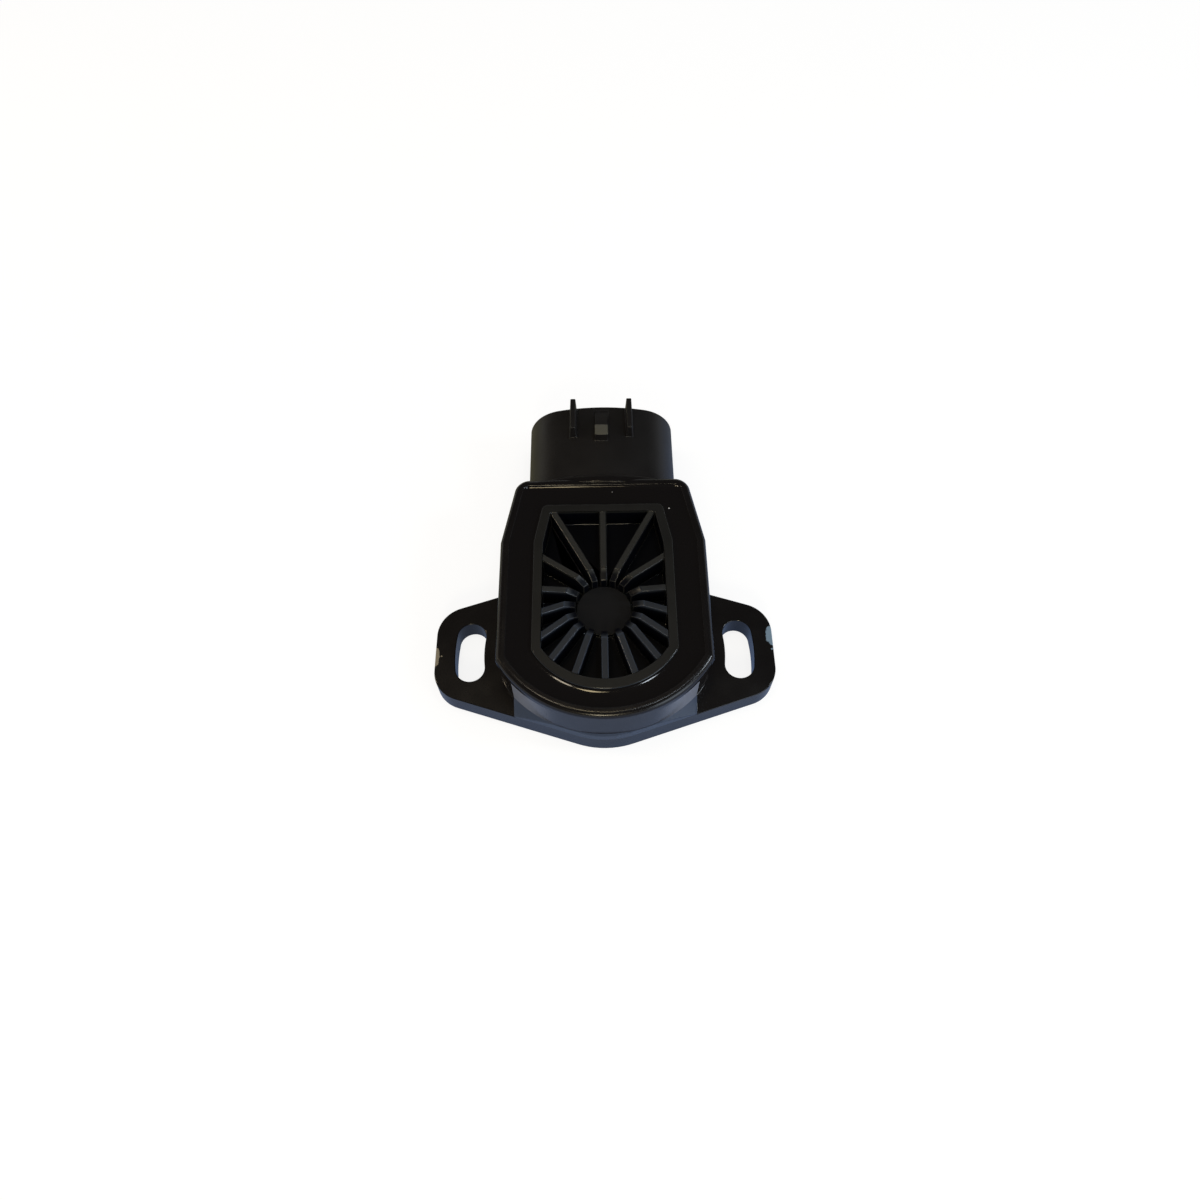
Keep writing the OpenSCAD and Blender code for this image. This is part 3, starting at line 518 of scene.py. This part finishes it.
def grain_group():
    """Fine noise for the height of a moulded surface's grain, and broad noise that lets its
    roughness wander between two values."""
    group = bpy.data.node_groups.new("Moulding grain", "ShaderNodeTree")
    group_socket(group, "Fineness", "INPUT", "NodeSocketFloat", 4000.0)
    group_socket(group, "Roughness low", "INPUT", "NodeSocketFloat", 0.3)
    group_socket(group, "Roughness high", "INPUT", "NodeSocketFloat", 0.4)
    group_socket(group, "Height", "OUTPUT", "NodeSocketFloat")
    group_socket(group, "Roughness", "OUTPUT", "NodeSocketFloat")
    nodes, links = group.nodes, group.links
    enter = nodes.new("NodeGroupInput")
    leave = nodes.new("NodeGroupOutput")
    place = nodes.new("ShaderNodeTexCoord")
    fine = nodes.new("ShaderNodeTexNoise")
    fine.inputs["Detail"].default_value = 2
    broad = nodes.new("ShaderNodeTexNoise")
    broad.inputs["Scale"].default_value = WANDER_SCALE
    broad.inputs["Detail"].default_value = 4
    spread = nodes.new("ShaderNodeMapRange")
    spread.inputs["From Min"].default_value = 0.3
    spread.inputs["From Max"].default_value = 0.7
    links.new(place.outputs["Object"], fine.inputs["Vector"])
    links.new(place.outputs["Object"], broad.inputs["Vector"])
    links.new(enter.outputs["Fineness"], fine.inputs["Scale"])
    links.new(broad.outputs["Fac"], spread.inputs["Value"])
    links.new(enter.outputs["Roughness low"], spread.inputs["To Min"])
    links.new(enter.outputs["Roughness high"], spread.inputs["To Max"])
    links.new(fine.outputs["Fac"], leave.inputs["Height"])
    links.new(spread.outputs["Result"], leave.inputs["Roughness"])
    return group


def spot_group():
    """One ragged spot: 1 inside an ellipsoid round the centre, falling to 0 at its broken edge."""
    group = bpy.data.node_groups.new("Ragged spot", "ShaderNodeTree")
    group_socket(group, "Centre", "INPUT", "NodeSocketVector")
    group_socket(group, "Radii", "INPUT", "NodeSocketVector")
    group_socket(group, "Raggedness", "INPUT", "NodeSocketFloat", 0.5)
    group_socket(group, "Mask", "OUTPUT", "NodeSocketFloat")
    nodes, links = group.nodes, group.links
    enter = nodes.new("NodeGroupInput")
    leave = nodes.new("NodeGroupOutput")
    place = nodes.new("ShaderNodeTexCoord")
    gap = calculator(nodes, "SUBTRACT", "ShaderNodeVectorMath")
    share = calculator(nodes, "DIVIDE", "ShaderNodeVectorMath")
    ratio = calculator(nodes, "LENGTH", "ShaderNodeVectorMath")
    noise = nodes.new("ShaderNodeTexNoise")
    noise.inputs["Scale"].default_value = RAGGED_SCALE
    noise.inputs["Detail"].default_value = 3
    centred = calculator(nodes, "SUBTRACT")
    centred.inputs[1].default_value = 0.5
    jag = calculator(nodes, "MULTIPLY_ADD")
    links.new(place.outputs["Object"], gap.inputs[0])
    links.new(enter.outputs["Centre"], gap.inputs[1])
    links.new(gap.outputs["Vector"], share.inputs[0])
    links.new(enter.outputs["Radii"], share.inputs[1])
    links.new(share.outputs["Vector"], ratio.inputs[0])
    links.new(place.outputs["Object"], noise.inputs["Vector"])
    links.new(noise.outputs["Fac"], centred.inputs[0])
    links.new(centred.outputs[0], jag.inputs[0])
    links.new(enter.outputs["Raggedness"], jag.inputs[1])
    links.new(ratio.outputs["Value"], jag.inputs[2])
    links.new(mapped(nodes, links, jag.outputs[0], 1.05, 0.95), leave.inputs["Mask"])
    return group


def soft_box_group():
    """1 inside a box that lies to both sides of the part's middle plane, falling to 0 outside it.
    Along each direction the mask rises from Start to Full from and falls from Full to to End."""
    group = bpy.data.node_groups.new("Soft box", "ShaderNodeTree")
    for name in ("Start", "Full from", "Full to", "End"):
        group_socket(group, name, "INPUT", "NodeSocketVector")
    group_socket(group, "Mask", "OUTPUT", "NodeSocketFloat")
    nodes, links = group.nodes, group.links
    enter = nodes.new("NodeGroupInput")
    leave = nodes.new("NodeGroupOutput")
    split = own_place(nodes, links)
    sideways = calculator(nodes, "ABSOLUTE")
    mirrored = nodes.new("ShaderNodeCombineXYZ")
    links.new(split.outputs["X"], sideways.inputs[0])
    links.new(sideways.outputs[0], mirrored.inputs["X"])
    links.new(split.outputs["Y"], mirrored.inputs["Y"])
    links.new(split.outputs["Z"], mirrored.inputs["Z"])
    both = calculator(nodes, "MULTIPLY", "ShaderNodeVectorMath")
    slopes = (
        ("Start", "Full from", (0, 0, 0), (1, 1, 1)),
        ("Full to", "End", (1, 1, 1), (0, 0, 0)),
    )
    for factor, (first, last, at_first, at_last) in zip(both.inputs, slopes):
        slope = nodes.new("ShaderNodeMapRange")
        slope.data_type = "FLOAT_VECTOR"
        slope.interpolation_type = "SMOOTHSTEP"
        slope.inputs["To Min"].default_value = at_first
        slope.inputs["To Max"].default_value = at_last
        links.new(mirrored.outputs["Vector"], slope.inputs["Vector"])
        links.new(enter.outputs[first], slope.inputs["From Min"])
        links.new(enter.outputs[last], slope.inputs["From Max"])
        links.new(slope.outputs["Vector"], factor)
    shares = nodes.new("ShaderNodeSeparateXYZ")
    level = calculator(nodes, "MULTIPLY")
    whole = calculator(nodes, "MULTIPLY")
    links.new(both.outputs["Vector"], shares.inputs["Vector"])
    links.new(shares.outputs["X"], level.inputs[0])
    links.new(shares.outputs["Y"], level.inputs[1])
    links.new(level.outputs[0], whole.inputs[0])
    links.new(shares.outputs["Z"], whole.inputs[1])
    links.new(whole.outputs[0], leave.inputs["Mask"])
    return group


def plain_finish(name, colour, roughness, metallic=0.0):
    """A material with one colour and one gloss."""
    material = bpy.data.materials.new(name)
    material.use_nodes = True
    shader = material.node_tree.nodes["Principled BSDF"]
    shader.inputs["Base Color"].default_value = (*colour, 1)
    shader.inputs["Roughness"].default_value = roughness
    shader.inputs["Metallic"].default_value = metallic
    return material


def grained_finish(name, colour, fineness, low, high, bump):
    """A plastic whose gloss wanders a little, with fine grain in its surface."""
    material = plain_finish(name, colour, low)
    nodes, links = material.node_tree.nodes, material.node_tree.links
    shader = nodes["Principled BSDF"]
    grain = nodes.new("ShaderNodeGroup")
    grain.node_tree = bpy.data.node_groups["Moulding grain"]
    grain.inputs["Fineness"].default_value = fineness
    grain.inputs["Roughness low"].default_value = low
    grain.inputs["Roughness high"].default_value = high
    relief = nodes.new("ShaderNodeBump")
    relief.inputs["Strength"].default_value = bump
    relief.inputs["Distance"].default_value = GRAIN_DEPTH
    links.new(grain.outputs["Roughness"], shader.inputs["Roughness"])
    links.new(grain.outputs["Height"], relief.inputs["Height"])
    links.new(relief.outputs["Normal"], shader.inputs["Normal"])
    return material


def paint_over(material, mask, colour):
    """Lays another colour over a material's colour where the mask is 1."""
    nodes, links = material.node_tree.nodes, material.node_tree.links
    base = nodes["Principled BSDF"].inputs["Base Color"]
    paint = colour_mix(nodes, tuple(base.default_value)[:3], colour)
    for link in base.links:
        links.new(link.from_socket, paint.inputs["A"])
    links.new(mask, paint.inputs["Factor"])
    links.new(paint.outputs["Result"], base)


def spotted_colour(material, spots, height, depth, colour, raggedness):
    """Paints ragged spots over a material's colour, at a height above the mounting face and
    reaching a depth above and below it, in mm."""
    nodes, links = material.node_tree.nodes, material.node_tree.links
    mask = None
    for x, y, radius_x, radius_y in spots:
        spot = nodes.new("ShaderNodeGroup")
        spot.node_tree = bpy.data.node_groups["Ragged spot"]
        spot.inputs["Centre"].default_value = (x * MM, y * MM, height * MM)
        spot.inputs["Radii"].default_value = (radius_x * MM, radius_y * MM, depth * MM)
        spot.inputs["Raggedness"].default_value = raggedness
        if mask is None:
            mask = spot.outputs["Mask"]
            continue
        both = calculator(nodes, "MAXIMUM")
        links.new(mask, both.inputs[0])
        links.new(spot.outputs["Mask"], both.inputs[1])
        mask = both.outputs[0]
    paint_over(material, mask, colour)


def painted_box(material, box, colour, most_gloss):
    """Paints a soft box on a material in another colour and limits its gloss there. The box has the
    start, the first and the last full place and the end along X, Y and Z, in mm."""
    nodes, links = material.node_tree.nodes, material.node_tree.links
    area = nodes.new("ShaderNodeGroup")
    area.node_tree = bpy.data.node_groups["Soft box"]
    for name, point in zip(("Start", "Full from", "Full to", "End"), zip(*box)):
        area.inputs[name].default_value = [value * MM for value in point]
    mask = area.outputs["Mask"]
    paint_over(material, mask, colour)
    gloss = nodes["Principled BSDF"].inputs["Specular IOR Level"]
    least = calculator(nodes, "MINIMUM")
    least.inputs[0].default_value = PLASTIC_GLOSS
    for link in gloss.links:
        links.new(link.from_socket, least.inputs[0])
    links.new(mapped(nodes, links, mask, 0, 1, PLASTIC_GLOSS, most_gloss), least.inputs[1])
    links.new(least.outputs[0], gloss)


def shaded_by_height(material, steps):
    """Colours a material by height above the mounting face: (height in mm, colour), going up."""
    nodes, links = material.node_tree.nodes, material.node_tree.links
    low, high = steps[0][0], steps[-1][0]
    ramp = nodes.new("ShaderNodeValToRGB")
    for _ in steps[2:]:
        ramp.color_ramp.elements.new(0.5)
    for element, (height, colour) in zip(ramp.color_ramp.elements, steps):
        element.position = (height - low) / (high - low)
        element.color = (*colour, 1)
    height = own_place(nodes, links).outputs["Z"]
    links.new(mapped(nodes, links, height, low * MM, high * MM), ramp.inputs["Fac"])
    links.new(ramp.outputs["Color"], nodes["Principled BSDF"].inputs["Base Color"])


def dulled_low_down(material, low, high, dull, bright):
    """Gives a material less gloss below one height and more above another (heights in mm)."""
    nodes, links = material.node_tree.nodes, material.node_tree.links
    height = own_place(nodes, links).outputs["Z"]
    gloss = mapped(nodes, links, height, low * MM, high * MM, dull, bright)
    links.new(gloss, nodes["Principled BSDF"].inputs["Specular IOR Level"])


def rougher_behind(material, start, more):
    """Adds roughness behind a place along Y."""
    nodes, links = material.node_tree.nodes, material.node_tree.links
    roughness = nodes["Principled BSDF"].inputs["Roughness"]
    along = own_place(nodes, links).outputs["Y"]
    added = calculator(nodes, "MULTIPLY_ADD")
    added.inputs[1].default_value = more
    links.new(mapped(nodes, links, along, start, start + SOFT_STEP), added.inputs[0])
    links.new(roughness.links[0].from_socket, added.inputs[2])
    links.new(added.outputs[0], roughness)


def make_finishes(colours):
    """Builds the shared groups and every finish."""
    grain_group()
    spot_group()
    soft_box_group()
    housing = grained_finish(
        "Housing black", colours.housing, fineness=2600, low=0.20, high=0.28, bump=0.12)
    housing_edges = grained_finish(
        "Housing edges", colours.housing, fineness=2600, low=0.15, high=0.22, bump=0.08)
    for material in (housing, housing_edges):
        rougher_behind(material, RIM_FAR, more=0.2)
        # painted reflection: the nose slope blue-grey as if it mirrored the lit front wall
        painted_box(material, NOSE_REFLECTION_BOX, colours.nose, MATTE_GLOSS)
        # painted reflection of the white floor on the band's ends
        painted_box(material, BAND_ENDS_REFLECTION_BOX, colours.band_end_reflection, MATTE_GLOSS)
        painted_box(material, LATCH_RAMP_BOX, colours.housing, MATTE_GLOSS)
        # knocked chips tinted with painted light: warm on the left ear, cool on the right
        for chips, colour in ((LEFT_CHIPS, colours.left_chip_and_warm_light), (RIGHT_CHIPS, colours.right_chip_and_cool_light)):
            spotted_colour(material, chips, CHIP_HEIGHT, CHIP_DEPTH, colour, raggedness=0.8)
        # painted highlight on the latch's flat top
        spotted_colour(
            material, LATCH_HIGHLIGHT, LATCH_TOP, LATCH_DEPTH, colours.latch_highlight, raggedness=0.3)
    cover = grained_finish(
        "Cover black", colours.cover, fineness=3200, low=0.36, high=0.46, bump=0.35)
    # painted shade and sheen by height: dark pockets and rib sides, lighter rib tops, the frame in
    # the cover's own colour
    shaded_by_height(cover, (
        (POCKET_FLOOR, colours.pocket_shade), (RIB_FOOT, colours.pocket_shade),
        (RIB_TOP, colours.rib_top_sheen), (RIB_HIGHEST, colours.rib_top_sheen),
        (FRAME_FOOT, colours.cover), (FRAME_TOP, colours.cover)))
    # the hub's face lifted out of the pockets' painted shade
    spotted_colour(cover, HUB_FACE, HUB_TOP, HUB_DEPTH, colours.hub, raggedness=0)
    dulled_low_down(cover, RIB_FOOT, RIB_TOP, POCKET_GLOSS, COVER_GLOSS)
    # painted cool light on the tops and upper sides of the front ribs
    painted_box(cover, FRONT_RIBS_LIT_BOX, colours.front_rib_cool_light, PLASTIC_GLOSS)
    cover_edges = grained_finish(
        "Cover edges", colours.edge, fineness=3200, low=0.17, high=0.24, bump=0.1)
    # painted glints on the edges of the front ribs
    painted_box(cover_edges, FRONT_RIBS_LIT_BOX, colours.front_rib_edge_glint, PLASTIC_GLOSS)
    resin = grained_finish(
        "Potting resin", colours.resin, fineness=900, low=0.05, high=0.10, bump=0.05)
    spotted_colour(
        resin, RESIN_SPECKS, RESIN_HIGH.z / MM, SPECK_DEPTH, colours.speck, raggedness=0.3)
    grained_finish("Rotor plastic", ROTOR_COLOUR, fineness=2200, low=0.38, high=0.48, bump=0.15)
    for name, colour, roughness, metallic in PLAIN_FINISHES:
        plain_finish(name, colour, roughness, metallic)


def finish(name):
    """A finish by name, built with all the others when it is first asked for."""
    if name not in bpy.data.materials:
        make_finishes(bpy.context.scene.sensor_colours)
    return bpy.data.materials[name]


class OBJECT_OT_sensor_housing(bpy.types.Operator):
    """Dresses the housing with its slotted ears, connector and rounded rim"""
    bl_idname = "object.sensor_housing"
    bl_label = "Housing"

    def execute(self, context):
        sizes = context.scene.sensor_skins
        moulded_skin(
            "housing", "Housing_skin", "housing",
            finish("Housing black"), finish("Housing edges"), sizes)
        return {"FINISHED"}


class OBJECT_OT_sensor_cover(bpy.types.Operator):
    """Dresses the ribbed cover inside the rim"""
    bl_idname = "object.sensor_cover"
    bl_label = "Ribbed cover"

    def execute(self, context):
        sizes = context.scene.sensor_skins
        moulded_skin(
            "cover_plate", "Cover_skin", "housing",
            finish("Cover black"), finish("Cover edges"), sizes)
        return {"FINISHED"}


class OBJECT_OT_sensor_resin(bpy.types.Operator):
    """Pours the potting resin between the rim and the cover's frame"""
    bl_idname = "object.sensor_resin"
    bl_label = "Potting resin"

    def execute(self, context):
        sizes = context.scene.sensor_resin
        points = resin_points(sizes)
        rows, columns = points.shape[:2]
        resin = mesh_from_arrays("Resin_surface", points, grid_faces(rows, columns))
        shade_by_angle(resin.data, RESIN_EDGE_ANGLE)
        resin.data.materials.append(finish("Potting resin"))
        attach(resin, "housing")
        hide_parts("potting_resin")
        return {"FINISHED"}


class OBJECT_OT_sensor_inner_parts(bpy.types.Operator):
    """Gives the terminals, track board, rotor, spring, washers and seal their finishes"""
    bl_idname = "object.sensor_inner_parts"
    bl_label = "Terminals and inner parts"

    def execute(self, context):
        for node, (slot, name) in FINISH_OF_NODE.items():
            part = frame["nodes"][node]
            part.data.materials.clear()
            part.data.materials.append(finish(name))
        return {"FINISHED"}


def studio_floor(half):
    """A pale floor just under the part, white to the camera and still holding the shadow. Its
    gloss reflection is blue in front of the part and warm behind it on the left, like the light
    that falls there."""
    corners = ((-half, -half), (half, -half), (half, half), (-half, half))
    points = np.array([(x, y, FLOOR_HEIGHT) for x, y in corners])
    floor = mesh_from_arrays("Floor", points, np.array([[0, 1, 2, 3]]))
    material = bpy.data.materials.new("Floor white")
    material.use_nodes = True
    nodes, links = material.node_tree.nodes, material.node_tree.links
    nodes.clear()
    out = nodes.new("ShaderNodeOutputMaterial")
    diffuse = nodes.new("ShaderNodeBsdfDiffuse")
    diffuse.inputs["Color"].default_value = (0.8, 0.8, 0.8, 1)
    glow = nodes.new("ShaderNodeEmission")
    glow.inputs["Strength"].default_value = FLOOR_GLOW
    path = nodes.new("ShaderNodeLightPath")
    place = nodes.new("ShaderNodeTexCoord")
    towards_warm = calculator(nodes, "DOT_PRODUCT", "ShaderNodeVectorMath")
    towards_warm.inputs[1].default_value = WARM_DIRECTION
    reflected = colour_mix(nodes, FLOOR_COOL, FLOOR_WARM)
    tint = colour_mix(nodes, (0, 0, 0), (1, 1, 1))
    links.new(place.outputs["Object"], towards_warm.inputs[0])
    warmth = mapped(nodes, links, towards_warm.outputs["Value"], WARM_START, WARM_END)
    links.new(warmth, reflected.inputs["Factor"])
    links.new(reflected.outputs["Result"], tint.inputs["A"])
    links.new(path.outputs["Is Camera Ray"], tint.inputs["Factor"])
    links.new(tint.outputs["Result"], glow.inputs["Color"])
    seen = seen_rays(nodes, links)
    share = calculator(nodes, "MULTIPLY")
    share.inputs[1].default_value = FLOOR_GLOW_SHARE
    links.new(seen, share.inputs[0])
    mix = nodes.new("ShaderNodeMixShader")
    links.new(share.outputs[0], mix.inputs["Fac"])
    links.new(diffuse.outputs["BSDF"], mix.inputs[1])
    links.new(glow.outputs["Emission"], mix.inputs[2])
    links.new(mix.outputs["Shader"], out.inputs["Surface"])
    floor.data.materials.append(material)
    return floor


def seen_rays(nodes, links):
    """1 for rays from the camera, from a mirror and through glass, 0 for the others."""
    path = nodes.new("ShaderNodeLightPath")
    first = calculator(nodes, "MAXIMUM")
    second = calculator(nodes, "MAXIMUM")
    links.new(path.outputs["Is Camera Ray"], first.inputs[0])
    links.new(path.outputs["Is Glossy Ray"], first.inputs[1])
    links.new(first.outputs[0], second.inputs[0])
    links.new(path.outputs["Is Transmission Ray"], second.inputs[1])
    return second.outputs[0]


def studio_room(level):
    """The room: even light on the object. The camera sees it white; in gloss it is white along the
    horizon, like the floor, and dark above."""
    world = bpy.data.worlds.new("Room")
    world.use_nodes = True
    bpy.context.scene.world = world
    nodes, links = world.node_tree.nodes, world.node_tree.links
    nodes.clear()
    out = nodes.new("ShaderNodeOutputWorld")
    even = nodes.new("ShaderNodeBackground")
    even.inputs["Color"].default_value = (1, 1, 1, 1)
    even.inputs["Strength"].default_value = level
    shown = nodes.new("ShaderNodeBackground")
    shown.inputs["Color"].default_value = (1, 1, 1, 1)
    place = nodes.new("ShaderNodeTexCoord")
    split = nodes.new("ShaderNodeSeparateXYZ")
    fade = nodes.new("ShaderNodeMapRange")
    fade.interpolation_type = "SMOOTHSTEP"
    fade.inputs["From Min"].default_value = HORIZON_HEIGHT
    fade.inputs["From Max"].default_value = SKY_HEIGHT
    fade.inputs["To Min"].default_value = HORIZON_LEVEL
    fade.inputs["To Max"].default_value = SKY_LEVEL
    path = nodes.new("ShaderNodeLightPath")
    direct = calculator(nodes, "MAXIMUM")
    links.new(place.outputs["Generated"], split.inputs["Vector"])
    links.new(split.outputs["Z"], fade.inputs["Value"])
    links.new(fade.outputs["Result"], direct.inputs[0])
    links.new(path.outputs["Is Camera Ray"], direct.inputs[1])
    links.new(direct.outputs[0], shown.inputs["Strength"])
    mix = nodes.new("ShaderNodeMixShader")
    links.new(seen_rays(nodes, links), mix.inputs["Fac"])
    links.new(even.outputs["Background"], mix.inputs[1])
    links.new(shown.outputs["Background"], mix.inputs[2])
    links.new(mix.outputs["Shader"], out.inputs["Surface"])


def lamp(name, place, size, power, colour):
    """A square area lamp at a place, turned towards the part."""
    data = bpy.data.lights.new(name, "AREA")
    data.shape = "SQUARE"
    data.size = size
    data.energy = power
    data.color = colour
    obj = bpy.data.objects.new(name, data)
    bpy.context.scene.collection.objects.link(obj)
    obj.location = place
    aim = Vector(LAMP_TARGET) - Vector(place)
    obj.rotation_euler = aim.to_track_quat("-Z", "Y").to_euler()
    return obj


def studio_camera(sizes):
    """The camera at the photograph's place and angle."""
    data = bpy.data.cameras.new("Camera")
    data.sensor_width = 36
    data.lens = sizes.lens
    data.clip_start = 0.005
    data.clip_end = 20
    camera = bpy.data.objects.new("Camera", data)
    bpy.context.scene.collection.objects.link(camera)
    camera.matrix_world = (
        Matrix.Translation(sizes.camera_place)
        @ Matrix.Rotation(sizes.camera_tilt, 4, "X")
        @ Matrix.Rotation(sizes.camera_roll, 4, "Z"))
    bpy.context.scene.camera = camera


class OBJECT_OT_sensor_studio(bpy.types.Operator):
    """Sets up the floor, the room, the lamps and the camera"""
    bl_idname = "object.sensor_studio"
    bl_label = "Studio"

    def execute(self, context):
        sizes = context.scene.sensor_studio
        floor = studio_floor(sizes.floor_half)
        studio_room(sizes.level)
        lamps = [lamp(*values) for values in LAMPS]
        studio_camera(sizes)
        context.scene.view_settings.view_transform = "Standard"
        return {"FINISHED"}


class VIEW3D_PT_sensor(bpy.types.Panel):
    """Lists the sensor's operators"""
    bl_label = "Throttle position sensor"
    bl_idname = "VIEW3D_PT_sensor"
    bl_space_type = "VIEW_3D"
    bl_region_type = "UI"
    bl_category = "Sensor"

    def draw(self, context):
        for operator in OPERATORS:
            self.layout.operator(operator.bl_idname)


OPERATORS = (
    OBJECT_OT_sensor_housing,
    OBJECT_OT_sensor_cover,
    OBJECT_OT_sensor_resin,
    OBJECT_OT_sensor_inner_parts,
    OBJECT_OT_sensor_studio,
)
GROUPS = {
    "sensor_skins": SkinSizes,
    "sensor_resin": ResinSizes,
    "sensor_colours": FinishColours,
    "sensor_studio": StudioSizes,
}


def register():
    for name, group in GROUPS.items():
        bpy.utils.register_class(group)
        setattr(bpy.types.Scene, name, PointerProperty(type=group))
    for operator in OPERATORS:
        bpy.utils.register_class(operator)
    bpy.utils.register_class(VIEW3D_PT_sensor)


def unregister():
    bpy.utils.unregister_class(VIEW3D_PT_sensor)
    for operator in reversed(OPERATORS):
        bpy.utils.unregister_class(operator)
    for name, group in reversed(list(GROUPS.items())):
        delattr(bpy.types.Scene, name)
        bpy.utils.unregister_class(group)


def main():
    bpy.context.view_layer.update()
    register()
    clear_scene()
    bpy.ops.object.sensor_housing()
    bpy.ops.object.sensor_cover()
    bpy.ops.object.sensor_resin()
    bpy.ops.object.sensor_inner_parts()
    bpy.ops.object.sensor_studio()


if __name__ == "__main__":
    main()
